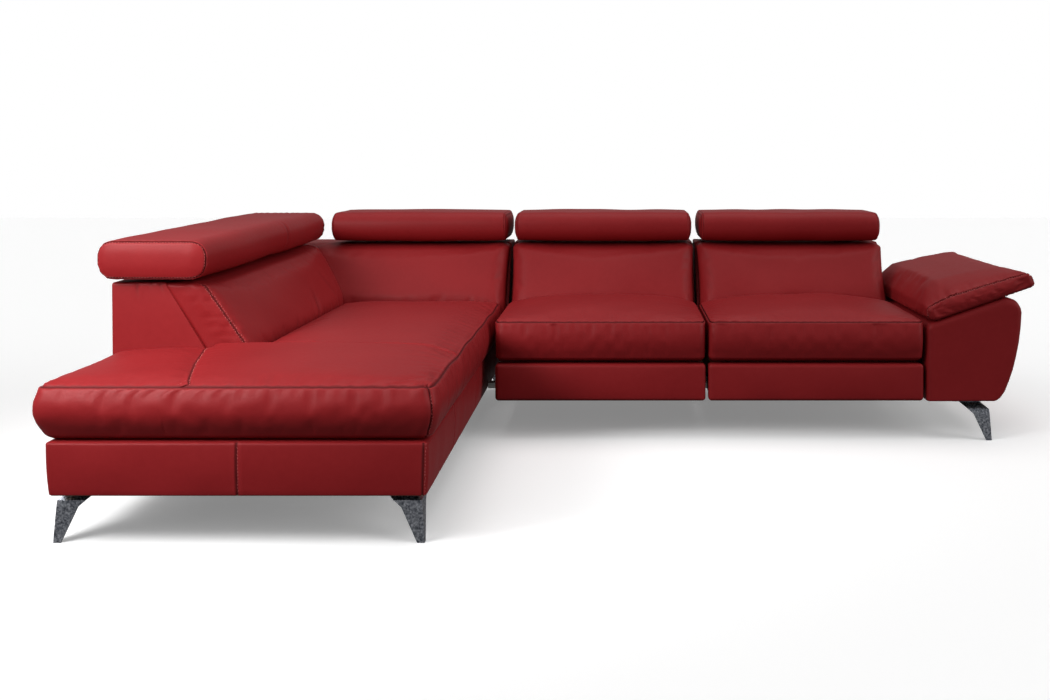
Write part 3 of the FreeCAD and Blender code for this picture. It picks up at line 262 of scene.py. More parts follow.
# The legs: a chromed casting of two thin wings that meet on a knee and stand on one toe.
# A welded plate on top takes four screws into the base.
chrome = Finish("chrome")
orange_peel = chrome.noise(165.0, 3.0, 0.55)
patches = chrome.node(
    "ValToRGB",
    {"stops": [(0.34, (0.13, 0.14, 0.17)), (0.5, (0.36, 0.38, 0.43)), (0.68, (0.72, 0.74, 0.80))]},
    {"Fac": orange_peel},
)
chrome_material = chrome.surface(
    Base_Color=patches,
    Metallic=1.0,
    Roughness=0.24 + orange_peel * 0.16,
    Normal=chrome.bump(orange_peel, 0.3, 0.0009),
)
finish_slot("chrome_leg", chrome_material)


# The lounge's base: leather over thin foam, stretched round the box and stapled underneath.
# One upright seam joins two hides at the front, and a corner seam runs up each front corner.
def rows(low, high, round_low, round_high, step, seams):
    """Grid places along one side of a padded form, close together where it rounds and at its seams."""
    turn = np.tan(np.linspace(0, math.pi / 4, 5))
    first = low + round_low * (1 - turn[::-1])
    last = high - round_high * (1 - turn)
    count = max(int(round((last[0] - first[-1]) / step)), 1)
    middle = np.linspace(first[-1], last[0], count + 1)[1:-1]
    for seam in seams:
        beside = seam + np.array((-0.0056, -0.0028, 0, 0.0028, 0.0056))
        middle = np.append(middle[np.abs(middle - seam) > 0.007], beside)
    places = np.concatenate((first, middle, last))
    return np.unique(np.round(np.clip(places, low, high), 5))


def ripple(places, length, seed):
    """Smooth uneven waves between about -1 and 1 that repeat at no set length."""
    dice = np.random.default_rng(seed)
    places = np.asarray(places, float).reshape(len(places), -1)
    total = np.zeros(len(places))
    for _ in range(7):
        way = dice.normal(size=places.shape[1])
        way /= np.linalg.norm(way)
        pace = 2 * math.pi / length * dice.uniform(0.55, 1.5)
        total += np.sin(places @ way * pace + dice.uniform(0, 6.28))
    return total / 3.2


def dome(place, low, high, power=2.6):
    """1 in the middle of a side and 0 at its ends."""
    across = np.abs(2 * (place - low) / (high - low) - 1)
    return 1 - np.clip(across, 0, 1) ** power


class Form:
    """Upholstery as it is shaped: points, the place of each on a plain block, and four-sided faces."""

    def __init__(self, low, high, round_low, round_high, step=0.010, seams=((), (), ()), open_sides=""):
        low, high = np.array(low, float), np.array(high, float)
        round_low, round_high = np.array(round_low, float), np.array(round_high, float)
        self.low, self.high = low, high
        lines = [rows(low[i], high[i], round_low[i], round_high[i], step, seams[i]) for i in range(3)]
        shape = tuple(len(line) for line in lines)
        grid = np.indices(shape)
        skin = np.zeros(shape, bool)
        for axis, size in enumerate(shape):
            skin |= (grid[axis] == 0) | (grid[axis] == size - 1)
        number = -np.ones(shape, int)
        number[skin] = np.arange(skin.sum())
        self.block = np.stack([lines[axis][grid[axis][skin]] for axis in range(3)], 1)
        core = np.clip(self.block, low + round_low, high - round_high)
        radii = np.where(self.block < core, round_low, round_high)
        away = (self.block - core) / np.maximum(radii, 1e-6)
        length = np.linalg.norm(away, axis=1, keepdims=True)
        self.points = core + radii * away / np.maximum(length, 1e-9)
        sides = []
        for axis, name in enumerate("xyz"):
            for end, sign in ((0, "-"), (-1, "+")):
                if name + sign in open_sides:
                    continue
                cells = np.take(number, end, axis)
                around_cell = (cells[:-1, :-1], cells[1:, :-1], cells[1:, 1:], cells[:-1, 1:])
                quads = np.stack(around_cell, -1).reshape(-1, 4)
                outward = (end == -1) != (axis == 1)
                sides.append(quads if outward else quads[:, ::-1])
        self.faces = np.concatenate(sides)
        self.seam = np.zeros(len(self.points))
        self.wear = np.zeros(len(self.points))

    def normals(self):
        """The way out at each point, from the faces round it."""
        a, b, c, d = (self.points[self.faces[:, i]] for i in range(4))
        flat = np.cross(c - a, d - b)
        total = np.zeros_like(self.points)
        for i in range(4):
            np.add.at(total, self.faces[:, i], flat)
        return total / np.maximum(np.linalg.norm(total, axis=1, keepdims=True), 1e-12)

    def at(self, axis, place):
        """Which points lie at one place along the block's x, y or z."""
        return np.abs(self.block[:, "xyz".index(axis)] - place) < 1e-4

    def row(self, mask, order):
        """The points where a mask holds, put in order, as a line for a seam's thread."""
        chosen = np.flatnonzero(mask)
        return self.points[chosen[np.argsort(order[chosen])]]

    def push(self, amount):
        """Moves each point outward by its own amount."""
        self.points = self.points + self.normals() * np.asarray(amount)[:, None]

    def line(self, **places):
        """Distance from a straight seam on the block, such as z=.42, and the run along it."""
        axes = {"xyz".index(name): place for name, place in places.items()}
        distance = sum((self.block[:, axis] - place) ** 2 for axis, place in axes.items())
        rest = [axis for axis in range(3) if axis not in axes]
        if len(axes) == 1:
            inward = np.minimum(self.block - self.low, self.high - self.block)[:, rest].min(1)
            distance = distance + inward**2
        return np.sqrt(distance), self.block[:, rest].sum(1)

    def path(self, points):
        """Distance from a line through points in the frame, and the run along it."""
        best = np.full(len(self.points), 9.0)
        run = np.zeros(len(self.points))
        done = 0.0
        for start, end in zip(np.array(points[:-1], float), np.array(points[1:], float)):
            way = end - start
            size = np.linalg.norm(way)
            share = np.clip((self.points - start) @ way / size**2, 0, 1)
            distance = np.linalg.norm(self.points - start - share[:, None] * way, axis=1)
            nearer = distance < best
            best = np.where(nearer, distance, best)
            run = np.where(nearer, done + share * size, run)
            done += size
        return best, run / done

    def sew(self, distance, run, depth=0.0035, width=0.0034, tuck=0.0012, reach=0.03, pitch=0.03, seed=1):
        """Pulls a seam in, with the small gathers beside it, and marks its groove, which the leather darkens
        as painted shade, and its bead, which the leather lightens as a painted highlight with some rubbed
        wear.
        """
        groove = np.exp(-((distance / width) ** 2))
        gathers = ripple(run, pitch, seed) * np.exp(-distance / reach) * (1 - groove)
        bead = np.exp(-(((distance - 0.0056) / 0.003) ** 2))
        self.push(-depth * groove + tuck * gathers + 0.25 * depth * bead)
        # The seam mark darkens the groove in the leather's colour: painted shade.
        self.seam = np.maximum(self.seam, groove)
        # The bead mark lightens the raised bead in the leather's colour: painted highlight, partly rubbed
        # wear.
        self.wear = np.maximum(self.wear, bead * 0.6)

    def crease(self, points, depth, width, lift=0.5):
        """A wrinkle along a line through points, deepest in the middle, with its sides raised, and its hollow
        marked for painted shade in the leather.
        """
        distance, run = self.path(points)
        taper = np.sin(math.pi * np.clip(run, 0.001, 0.999)) ** 0.7
        hollow = np.exp(-((distance / width) ** 2))
        sides = np.exp(-(((distance - 2.1 * width) / (1.2 * width)) ** 2))
        self.push(taper * (-depth * hollow + lift * depth * sides))
        # The hollow joins the seam mark, so the leather's colour darkens there: painted shade.
        self.seam = np.maximum(self.seam, 0.35 * taper * hollow)

    def belly(self, profile, left=0.0, right=0.0, front=0.0, back=0.0, fade=0.06):
        """Swells the sides outward by a profile of the block's height."""
        share = profile((self.block[:, 2] - self.low[2]) / (self.high[2] - self.low[2]))
        for axis, below, above in ((0, left, right), (1, front, back)):
            near_low = np.exp(-(self.block[:, axis] - self.low[axis]) / fade)
            near_high = np.exp(-(self.high[axis] - self.block[:, axis]) / fade)
            self.points[:, axis] += share * (above * near_high - below * near_low)

    def cover(self, name):
        """The form as an object."""
        mesh = bpy.data.meshes.new(name)
        mesh.vertices.add(len(self.points))
        mesh.vertices.foreach_set("co", self.points.ravel())
        mesh.loops.add(self.faces.size)
        mesh.loops.foreach_set("vertex_index", self.faces.ravel())
        mesh.polygons.add(len(self.faces))
        mesh.polygons.foreach_set("loop_start", np.arange(0, self.faces.size, 4))
        mesh.update(calc_edges=True)
        mesh.shade_smooth()
        piece = bpy.data.objects.new(name, mesh)
        bpy.context.scene.collection.objects.link(piece)
        return piece

    def stuff(self, hidden, most=0.008, slack=0.013, frames=14):
        """Fills the cover with a cloth simulation under air pressure. Its seams and hidden sides are held."""
        held = hidden | (self.seam > 0.35)
        piece = self.cover("cover_being_filled")
        piece.vertex_groups.new(name="held").add(np.flatnonzero(held).tolist(), 1.0, "REPLACE")
        cloth = piece.modifiers.new("cloth", "CLOTH")
        fabric = cloth.settings
        fabric.quality, fabric.mass, fabric.bending_stiffness = 4, 0.35, 0.6
        fabric.tension_stiffness = fabric.compression_stiffness = 14
        fabric.shear_stiffness = 7
        fabric.use_pressure, fabric.uniform_pressure_force = True, 4.0
        fabric.shrink_min = -slack
        fabric.vertex_group_mass = "held"
        fabric.effector_weights.gravity = 0
        cloth.point_cache.frame_start, cloth.point_cache.frame_end = 1, frames
        for step in range(1, frames + 1):
            bpy.context.scene.frame_set(step)
        shaped = piece.evaluated_get(bpy.context.evaluated_depsgraph_get()).data
        after = np.empty(len(self.points) * 3)
        shaped.vertices.foreach_get("co", after)
        moved = after.reshape(-1, 3) - self.points
        size = np.maximum(np.linalg.norm(moved, axis=1, keepdims=True), 1e-9)
        self.points = self.points + moved * (most * np.tanh(size / most) / size)
        bpy.context.scene.frame_set(1)
        bpy.data.objects.remove(piece)

    def dress(self, name, body, nodes, fill=None):
        """Makes the piece in leather, riding on a body in place of its CAD nodes."""
        piece = self.cover(name)
        mesh = piece.data
        # Both marks go with the piece: the seam mark for painted shade in grooves and hollows, the bead mark
        # for a painted highlight with some rubbed wear.
        for label, values in (("seam", self.seam), ("wear", self.wear)):
            mesh.attributes.new(label, "FLOAT", "POINT").data.foreach_set("value", values)
        mesh.materials.append(leather)
        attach(piece, body)
        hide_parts(*nodes)
        return piece


hide_red = (0.262, 0.0125, 0.0145)
hide_deep = (0.205, 0.0080, 0.0100)
hide_light = (0.345, 0.0230, 0.0265)
# Near-black red that seam grooves and wrinkle hollows are painted toward: painted shade.
painted_groove_shade = (0.050, 0.003, 0.004)
hide = Finish("red_leather_satin")
hide_place = hide.node("TexCoord", out="Object")
grain_cells = {"Vector": hide_place, "Scale": 300.0, "Smoothness": 0.6}
cells = hide.node("TexVoronoi", {"feature": "SMOOTH_F1"}, grain_cells)
fine = hide.noise(900.0, 2.0, 0.5, hide_place)
cloudy = hide.noise(5.0, 3.0, 0.55, hide_place)
mottle = hide.noise(60.0, 4.0, 0.6, hide_place)
# The seam mark: seam grooves and wrinkle hollows, darkened below as painted shade.
sunk = hide.node("Attribute", {"attribute_name": "seam"}, out="Fac")
# The bead mark: the raised bead beside each seam, lightened below as a painted highlight with some rubbed
# wear.
bead_wear_and_highlight = hide.node("Attribute", {"attribute_name": "wear"}, out="Fac")
tone = hide.blend(cloudy, hide_deep, hide_red)
tone = hide.blend(0.30 * mottle, tone, hide_light)
# Painted highlight, partly rubbed wear: the colour goes halfway toward the lighter red along the seam beads.
tone = hide.blend(bead_wear_and_highlight * 0.5, tone, hide_light)
# Painted shade: the colour goes most of the way to near-black in seam grooves and wrinkle hollows.
tone = hide.blend(sunk * 0.85, tone, painted_groove_shade)
leather = hide.surface(
    Base_Color=tone,
    Roughness=0.44 + mottle * 0.12 + sunk * 0.2 - bead_wear_and_highlight * 0.05,
    Normal=hide.bump(fine, 0.10, 0.0003, hide.bump(cells, 0.22, 0.0006)),
    Specular_IOR_Level=0.17,
)


def thread(piece, name, points, body, offset=0.0, stitch=0.0062, gap=0.0024, radius=0.0007):
    """A row of stitches laid on a piece along a line, offset to one side of it."""
    skin = piece.data
    surface = BVHTree.FromPolygons([v.co for v in skin.vertices], [p.vertices for p in skin.polygons])
    points = np.array(points, float)
    sizes = np.linalg.norm(np.diff(points, axis=0), axis=1)
    along = np.concatenate(([0], np.cumsum(sizes)))

    def on_line(distance):
        return Vector([np.interp(distance, along, points[:, axis]) for axis in range(3)])

    def on_skin(distance, lift):
        spot_on_line, ahead = on_line(distance), on_line(min(distance + 0.004, along[-1]))
        spot, normal = surface.find_nearest(spot_on_line)[:2]
        if offset:
            side = (ahead - spot_on_line).cross(normal)
            if side.length > 1e-9:
                spot, normal = surface.find_nearest(spot_on_line + side.normalized() * offset)[:2]
        return spot + normal * lift

    sunk, raised, sides = -0.0004, radius * 0.7, 6
    verts, faces = [], []
    start = 0.0
    while start + stitch < along[-1]:
        arch = ((0, sunk), (0.25, raised), (0.75, raised), (1, sunk))
        line = [on_skin(start + stitch * share, lift) for share, lift in arch]
        way = (line[-1] - line[0]).normalized()
        up = surface.find_nearest(line[1])[1]
        across = way.cross(up).normalized()
        base = len(verts)
        for spot, thick in zip(line, (0.5, 1, 1, 0.5)):
            for turn in range(sides):
                angle = turn * math.pi * 2 / sides
                verts.append(spot + (across * math.cos(angle) + up * math.sin(angle)) * radius * thick)
        for ring in range(3):
            for turn in range(sides):
                a, b = (base + ring * sides + (turn + step) % sides for step in (0, 1))
                faces.append((a, b, b + sides, a + sides))
        faces.append(tuple(base + turn for turn in reversed(range(sides))))
        faces.append(tuple(base + 3 * sides + turn for turn in range(sides)))
        start += stitch + gap
    mesh = bpy.data.meshes.new(name)
    mesh.from_pydata(verts, [], faces)
    mesh.shade_smooth()
    mesh.materials.append(thread_material)
    row = bpy.data.objects.new(name, mesh)
    bpy.context.scene.collection.objects.link(row)
    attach(row, body)


twist = Finish("bonded_thread")
strands = twist.noise(1500.0, 2.0)
thread_material = twist.surface(
    Base_Color=twist.blend(strands, (0.40, 0.05, 0.05), (0.58, 0.12, 0.11)),
    Roughness=0.5,
    Normal=twist.bump(strands, 0.5, 0.0003),
)

base_top = 0.2753
rear_line = 0.994
base_low, base_high = (-1.425, -1.003, 0.135), (-0.452, rear_line, 0.2752)
front_seam, corner_seam, side_seams = -0.937, -0.462, (-0.55, -0.05, 0.45)
base = Form(
    base_low, base_high, (0.014, 0.014, 0.005), (0.014, 0.014, 0.008),
    step=0.012, seams=((front_seam, corner_seam), side_seams, ()), open_sides="z-",
)
height = (base.block[:, 2] - base_low[2]) / (base_high[2] - base_low[2])
draw_in = 0.005 * (1 - height)
for axis in (0, 1):
    middle = (base_low[axis] + base_high[axis]) / 2
    half = (base_high[axis] - base_low[axis]) / 2
    base.points[:, axis] -= draw_in * np.clip((base.points[:, axis] - middle) / half, -1, 1)
swell = np.sin(math.pi * np.clip(height, 0, 1))
base.push(0.004 * swell + 0.0014 * ripple(base.points * (1, 1, 0.5), 0.16, 3) * swell)
base.sew(*base.line(x=front_seam, y=base_low[1]), depth=0.003, tuck=0.0008, seed=4)
base.sew(*base.line(x=corner_seam, y=base_low[1]), depth=0.0022, tuck=0.0004, seed=5)
for place in side_seams:
    base.sew(*base.line(x=base_high[0], y=place), depth=0.002, tuck=0.0005, seed=6)
base_piece = base.dress("lounge_base_leather", "sofa", ["lounge_base_cover"])
at_front = base.block[:, 1] < base_low[1] + 0.001
beside_seam = 0.0052
for label, place in (("front", front_seam), ("corner", corner_seam)):
    seam_line = base.row(base.at("x", place) & at_front, base.block[:, 2])
    thread(base_piece, f"lounge_base_{label}_stitches", seam_line, "sofa", offset=beside_seam)


# The lounge's seat: one L-shaped cushion of foam in leather, with a band sewn round its edge.
# The top is two hides joined by a curved seam that runs from the front edge to the back's foot.
seat_low, seat_high = (-1.450, -1.003, base_top), (-0.438, 0.5605, 0.424)
end_line = -0.5410
cross_row, corner_row = -1.12, -0.4475
band_seam = 0.4175
lounge = Form(
    seat_low, seat_high, (0.036, 0.036, 0.018), (0.034, 0.02, 0.014),
    step=0.011, seams=((cross_row, corner_row), (end_line,), (band_seam,)),
)


def belly_profile(share):
    """How far a seat's band stands out between its underside and its seam: tucked under, then full."""
    heights = (0, 0.06, 0.16, 0.32, 0.5, 0.68, 0.85, 1)
    return np.interp(share, heights, (-0.50, -0.34, -0.05, 0.58, 0.98, 0.92, 0.5, 0.1))


lounge.belly(belly_profile, left=0.014, right=0.015, front=0.021, fade=0.09)
block = lounge.block
lounge.points[:, 0] += 0.008 * np.exp(-(block[:, 0] - seat_low[0]) / 0.10)
on_top = np.clip((block[:, 2] - 0.405) / 0.019, 0, 1)
spread = dome(block[:, 0], seat_low[0], seat_high[0], 4.5) * dome(block[:, 1], seat_low[1], seat_high[1], 6.0)
lounge.points[:, 2] += 0.020 * on_top * spread
foot_of_panel = np.exp(-np.abs(block[:, 1] - end_line) / 0.020) * (block[:, 0] < -1.10)
lounge.points[:, 2] -= 0.010 * on_top * foot_of_panel

curve_y, curve_x = (-1.003, -0.7995, -0.5875, -0.4865), (-1.0575, -1.1165, -1.1675, -1.1835)
seam_x = np.interp(block[:, 1], curve_y, curve_x)
window = np.clip(1 - ((block[:, 0] - cross_row) / 0.30) ** 2, 0, 1) ** 2
lounge.points[:, 0] += (seam_x - cross_row) * window * on_top
beside_back = -1.050
squeeze = (seat_high[0] - beside_back) / (seat_high[0] - seat_low[0])
narrow = np.where(block[:, 1] > end_line + 0.001, squeeze, 1.0)
lounge.points[:, 0] = seat_high[0] - (seat_high[0] - lounge.points[:, 0]) * narrow

at_right = np.exp(-(((block[:, 0] - seat_high[0]) / 0.02) ** 2))
right_wave = at_right * np.exp(-(((block[:, 2] - band_seam) / 0.03) ** 2))
lounge.points[:, 2] += 0.0035 * right_wave * ripple(block[:, 1], 0.34, 11)
lounge.push(on_top * spread * 0.0022 * ripple(lounge.points, 0.33, 12))
front_corner = (-0.47, -1.0, 0.41)
near_corner = np.exp(-(np.linalg.norm(lounge.points - front_corner, axis=1) / 0.12))
band_tuck = 0.0008 + 0.0035 * near_corner
lounge.sew(*lounge.line(z=band_seam), depth=0.0042, tuck=band_tuck, reach=0.035, pitch=0.036, seed=13)
crossing = (block[:, 2] > band_seam) & (block[:, 1] < end_line)
from_cross_row = np.where(crossing, np.abs(block[:, 0] - cross_row), 1.0)
lounge.sew(from_cross_row, block[:, 1], depth=0.0034, tuck=0.0008, seed=14)
lounge.sew(*lounge.line(x=corner_row, y=seat_low[1]), depth=0.003, tuck=0.0010, seed=15)
hidden = (block[:, 2] < 0.30) | (block[:, 1] > 0.54)
hidden |= (block[:, 1] > end_line) & (lounge.points[:, 0] < -1.03)
lounge.stuff(hidden)
lounge.crease([(-0.44, -0.62, 0.40), (-0.47, -0.60, 0.425), (-0.53, -0.56, 0.436)], 0.004, 0.006)
lounge_seat = lounge.dress("lounge_seat_leather", "sofa", ["lounge_seat_cushion"], fill=0.8)

on_front_band = (block[:, 1] < seat_low[1] + 0.001) & (block[:, 2] < 0.41)
corner_line = lounge.row(lounge.at("x", corner_row) & on_front_band, block[:, 2])
thread(lounge_seat, "lounge_corner_stitches", corner_line, "sofa", offset=beside_seam)
cross_line = lounge.row(lounge.at("x", cross_row) & (on_top > 0.98) & (block[:, 1] < end_line), block[:, 1])
thread(lounge_seat, "lounge_cross_stitches", cross_line, "sofa", offset=0.0050)
fork = cross_line[0] + np.array([(-0.030, -0.001, 0.0), (-0.018, 0.010, 0.002), (-0.004, 0.036, 0.004)])
thread(lounge_seat, "lounge_fork_stitches", fork, "sofa")


# The side back: a boxed frame in leather with a raked front cushion, at the lounge's left.
# Its end panel is flat; the cushion's end band is sewn to it on a straight line.
side_offset = -0.465
back_foot, back_top = 0.305, 0.642


def turned(points):
    """Takes a piece drawn facing the front to the side back's place, facing right."""
    return np.stack([side_offset - points[:, 1], points[:, 0], points[:, 2]], 1)


def face_line(z):
    """Depth of a back cushion's face at a height: raked above the seat, nearly upright below."""
    bend, depth = 0.42, 0.588
    return np.where(z > bend, depth + (z - bend) * 0.136 / 0.222, depth + (bend - z) * 0.008 / 0.115)


def frame_line(z):
    """Depth of the frame that a back cushion lies on."""
    return np.interp(z, (back_foot, back_top), (0.650, 0.836))


def back_block(left, right, top_round, end_round, bulge, seed, seams=()):
    """A back cushion between its face and its frame, full in the middle and pulled in at its ends."""
    thick = 0.09
    round_low, round_high = (end_round, 0.040, 0.03), (end_round, 0.0005, top_round)
    form = Form(
        (left, 0, back_foot), (right, thick, back_top), round_low, round_high,
        step=0.010, seams=(seams, (), ()),
    )
    share = form.points[:, 1] / thick
    z = form.points[:, 2]
    front, rear = face_line(z), frame_line(z) + 0.003
    form.points[:, 1] = front + (rear - front) * share
    upward = dome(form.block[:, 2], back_foot - 0.05, back_top + 0.04, 2.4)
    fullness = dome(form.block[:, 0], left, right, 3.2) * upward
    forward = np.clip(1 - share * 1.2, 0, 1)
    form.points[:, 1] -= bulge * fullness * forward
    pulled = 0.010 * np.sin(math.pi * np.clip((z - back_foot) / (back_top - back_foot), 0, 1))
    near_left = np.exp(-(form.block[:, 0] - left) / 0.05)
    form.points[:, 0] += pulled * (near_left - np.exp(-(right - form.block[:, 0]) / 0.05))
    form.push(forward * fullness * 0.0022 * ripple(form.points * (1, 1, 1.4), 0.30, seed))
    return form


def unseen(cushion):
    """Where a back cushion lies on its frame or goes down behind the seat."""
    return (cushion.block[:, 1] > 0.05) | (cushion.block[:, 2] < 0.33)


def back_shell(left, right, low, high=back_top):
    """The leather box behind a back cushion, open underneath."""
    round_low, round_high = (0.006, 0.01, 0.006), (0.006, 0.04, 0.010)
    form = Form((left, 0, low), (right, 1, high), round_low, round_high, step=0.02, open_sides="z-")
    front = frame_line(np.clip(form.points[:, 2], low, high))
    form.points[:, 1] = front + (rear_line - front) * form.points[:, 1]
    return form


near_drop, drop_start, drop_end = 0.014, -0.54, 0.75


def lowered(form):
    """Lets the top of a side piece sink a little toward the sofa's front, as the padding does there."""
    share = np.clip((drop_end - form.points[:, 0]) / (drop_end - drop_start), 0, 1)
    form.points[:, 2] -= near_drop * share * np.clip((form.block[:, 2] - 0.45) / 0.19, 0, 1)


end_panel, end_seam = -0.540, -0.529
side_cushion = back_block(end_panel + 0.001, 0.715, 0.016, 0.020, 0.010, 21, seams=(end_seam,))
end_bow = np.exp(-(side_cushion.block[:, 0] - end_panel) / 0.02)
bow_height = np.clip((side_cushion.points[:, 2] - 0.40) / 0.26, 0, 1)
side_cushion.points[:, 0] -= 0.004 * end_bow * np.sin(math.pi * bow_height)
lowered(side_cushion)
side_cushion.points = turned(side_cushion.points)
end_tuck = 0.0008 + 0.0016 * np.exp(-np.abs(side_cushion.points[:, 2] - 0.50) / 0.08)
side_cushion.sew(
    *side_cushion.line(x=end_seam, y=0), depth=0.003, tuck=end_tuck, reach=0.022, pitch=0.026, seed=22
)
side_cushion.stuff(unseen(side_cushion) | (side_cushion.block[:, 0] > 0.68))
side_cushion.crease([(-1.0945, 0.2815, 0.507), (-1.055, 0.225, 0.45), (-1.03, 0.1695, 0.39)], 0.006, 0.012)
side_cushion.crease([(-1.14, 0.45, 0.56), (-1.09, 0.50, 0.48), (-1.07, 0.52, 0.42)], 0.003, 0.016)
side_pad = side_cushion.dress("side_back_cushion_leather", "sofa", ["lounge_back_cushion"], fill=0.8)
on_face = (side_cushion.block[:, 1] < 0.001) & (side_cushion.points[:, 2] > 0.43)
edge_line = side_cushion.row(side_cushion.at("x", end_seam) & on_face, side_cushion.points[:, 2])
for label, offset in (("outer", beside_seam), ("inner", -beside_seam)):
    thread(side_pad, f"side_back_{label}_stitches", edge_line, "sofa", offset=offset)

side_shell = back_shell(end_panel, 0.9925, low=base_top)
lowered(side_shell)
side_shell.points = turned(side_shell.points)
near_end = np.exp(-(side_shell.block[:, 0] - end_panel) / 0.004)
panel_middle = dome(side_shell.block[:, 1], -0.05, 1.05, 4) * dome(side_shell.block[:, 2], 0.24, 0.66, 4)
side_shell.points[:, 1] -= 0.003 * near_end * panel_middle
for pucker_x, reach_down in ((-1.385, 0.045), (-1.316, 0.03), (-1.345, 0.02)):
    top, foot = (pucker_x, -0.541, 0.640), (pucker_x + 0.004, -0.541, 0.640 - reach_down)
    side_shell.crease([top, foot], 0.0022, 0.006)
side_shell.dress("side_back_leather", "sofa", ["lounge_back_cover"])


# The corner back: the same build behind the corner seat, from the outer corner to the first relax module.
# Its cushion runs on behind the side back's, and its shell lies a hair under the side back's at the corner.
corner_left, corner_right = -1.2987, -0.415
corner_cushion = back_block(corner_left, corner_right, 0.020, 0.042, 0.012, 31)
corner_cushion.stuff(unseen(corner_cushion) | (corner_cushion.block[:, 0] > corner_right - 0.004))
corner_cushion.dress("corner_back_cushion_leather", "sofa", ["corner_back_cushion"], fill=0.8)
corner_shell = back_shell(-1.4585, corner_right, low=base_top, high=0.6404)
corner_shell.dress("corner_back_leather", "sofa", ["corner_back_cover"])


# The relax modules: a seat cushion that slides forward, a front panel that swings up as a footrest,
# and a back that leans. Each is foam in leather on its own board frame, with a band seam on the seat.
relax_sides = ((-0.406, 0.338), (0.344, 1.104))
clearance = 0.002
lip_row = 0.154
for number, (left, right) in enumerate(relax_sides, 1):
    body = f"relax_{number}"
    low, high = (left + 0.003, 0.097, 0.278), (right - 0.003, 0.580, 0.424)
    seat = Form(
        low, high, (0.024, 0.026, 0.016), (0.024, 0.016, 0.012),
        step=0.010, seams=((), (lip_row,), (band_seam,)),
    )
    seat.belly(belly_profile, front=0.011, fade=0.05)
    block = seat.block
    on_top = np.clip((block[:, 2] - 0.405) / 0.019, 0, 1)
    under = block[:, 2] < low[2] + 0.001
    seat.points[:, 2] -= 0.012 * under * np.exp(-(((block[:, 1] - lip_row) / 0.006) ** 2))
    spread = dome(block[:, 0], low[0], high[0], 2.3) * dome(block[:, 1], low[1], high[1] + 0.25, 2.2)
    seat.points[:, 2] += 0.034 * on_top * spread
    seat.push(on_top * spread * 0.0020 * ripple(seat.points, 0.28, 40 + number))
    to_end = np.minimum(block[:, 0] - low[0], high[0] - block[:, 0])
    band_tuck = 0.0006 + 0.0016 * np.exp(-to_end / 0.06)
    seat.sew(*seat.line(z=band_seam), depth=0.0038, tuck=band_tuck, reach=0.03, pitch=0.034, seed=44 + number)
    seat.stuff((block[:, 2] < 0.30) | (block[:, 1] > high[1] - 0.01) | (to_end < 0.003))
    seat.dress(f"relax_{number}_seat_leather", body + "_seat", [body + "_seat_cushion"], fill=0.8)

    low, high = (left + clearance, 0.0972, 0.138), (right - clearance, 0.134, 0.268)
    panel = Form(low, high, (0.012, 0.012, 0.012), (0.012, 0.006, 0.012), step=0.010)
    block = panel.block
    middle = dome(block[:, 0], low[0], high[0], 6) * dome(block[:, 2], low[2], high[2], 2.2)
    over_board = np.clip((block[:, 2] - 0.248) / 0.008, 0, 1) * (block[:, 1] > high[1] - 0.008)
    panel.points[:, 1] += 0.0145 * over_board
    forward = np.clip(1 - (block[:, 1] - low[1]) / 0.02, 0, 1)
    panel.points[:, 1] -= forward * middle * (0.005 + 0.0012 * ripple(panel.points, 0.2, 50 + number))
    panel.dress(f"relax_{number}_footrest_leather", body + "_panel", [body + "_footrest_pad"], fill=0.9)

    cushion = back_block(left + clearance, right - clearance, 0.020, 0.042, 0.014, 60 + number)
    at_end = (cushion.block[:, 0] < left + 0.006) | (cushion.block[:, 0] > right - 0.006)
    cushion.stuff(unseen(cushion) | at_end)
    cushion.dress(f"relax_{number}_back_cushion_leather", body + "_back", [body + "_back_cushion"], fill=0.8)
    shell = back_shell(left + clearance, right - clearance, low=0.345)
    shell.dress(f"relax_{number}_back_leather", body + "_back", [body + "_back_cover"])

rears = []
for left, right in relax_sides:
    low, high = (left - 0.0025, 0.982, 0.135), (right + 0.0025, rear_line, 0.345)
    rear = Form(low, high, (0.005, 0.005, 0.005), (0.005, 0.005, 0.005), step=0.02)
    middle = dome(rear.block[:, 0], low[0], high[0], 6) * dome(rear.block[:, 2], low[2], high[2], 3)
    rear.points[:, 1] += 0.002 * middle * (rear.block[:, 1] > 0.99)
    rears.append(rear)
both_rears = rears[0]
both_rears.faces = np.concatenate((both_rears.faces, rears[1].faces + len(both_rears.points)))
for label in ("points", "seam", "wear"):
    setattr(both_rears, label, np.concatenate([getattr(rear, label) for rear in rears]))
both_rears.dress("relax_rear_leather", "sofa", ["relax_rear_panels"])


# The headrests: a round-nosed roll of foam on a board core, hinged near its front edge.
# Each end is capped with a flat piece of hide; the side one's near cap has a row of light thread.
def headrest(left, right, end_round, seed):
    """A headrest drawn over its back, with a seam round each end."""
    cap = 0.012
    form = Form(
        (left, 0.700, 0.653), (right, 1.023, 0.7685), (end_round, 0.052, 0.054), (end_round, 0.046, 0.050),
        step=0.011, seams=((left + cap, right - cap), (), ()),
    )
    full = dome(form.block[:, 0], left, right, 5)
    form.push(0.0035 * full - 0.002 + 0.0016 * full * ripple(form.points * (1, 1, 1.5), 0.26, seed))
    return form


front_headrests = [
    ("corner_headrest", -1.142, -0.415, 71),
    ("relax_1_headrest", -0.398, 0.330, 72),
    ("relax_2_headrest", 0.352, 1.096, 73),
]
for name, left, right, seed in front_headrests:
    roll = headrest(left + 0.002, right - 0.002, 0.022, seed)
    for place in (left + 0.006, right - 0.006):
        roll.sew(*roll.line(x=place), depth=0.0016, tuck=0.0008, reach=0.02, pitch=0.024, seed=seed + 10)
    roll.dress(name + "_leather", name, [name + "_pad"], fill=0.9)

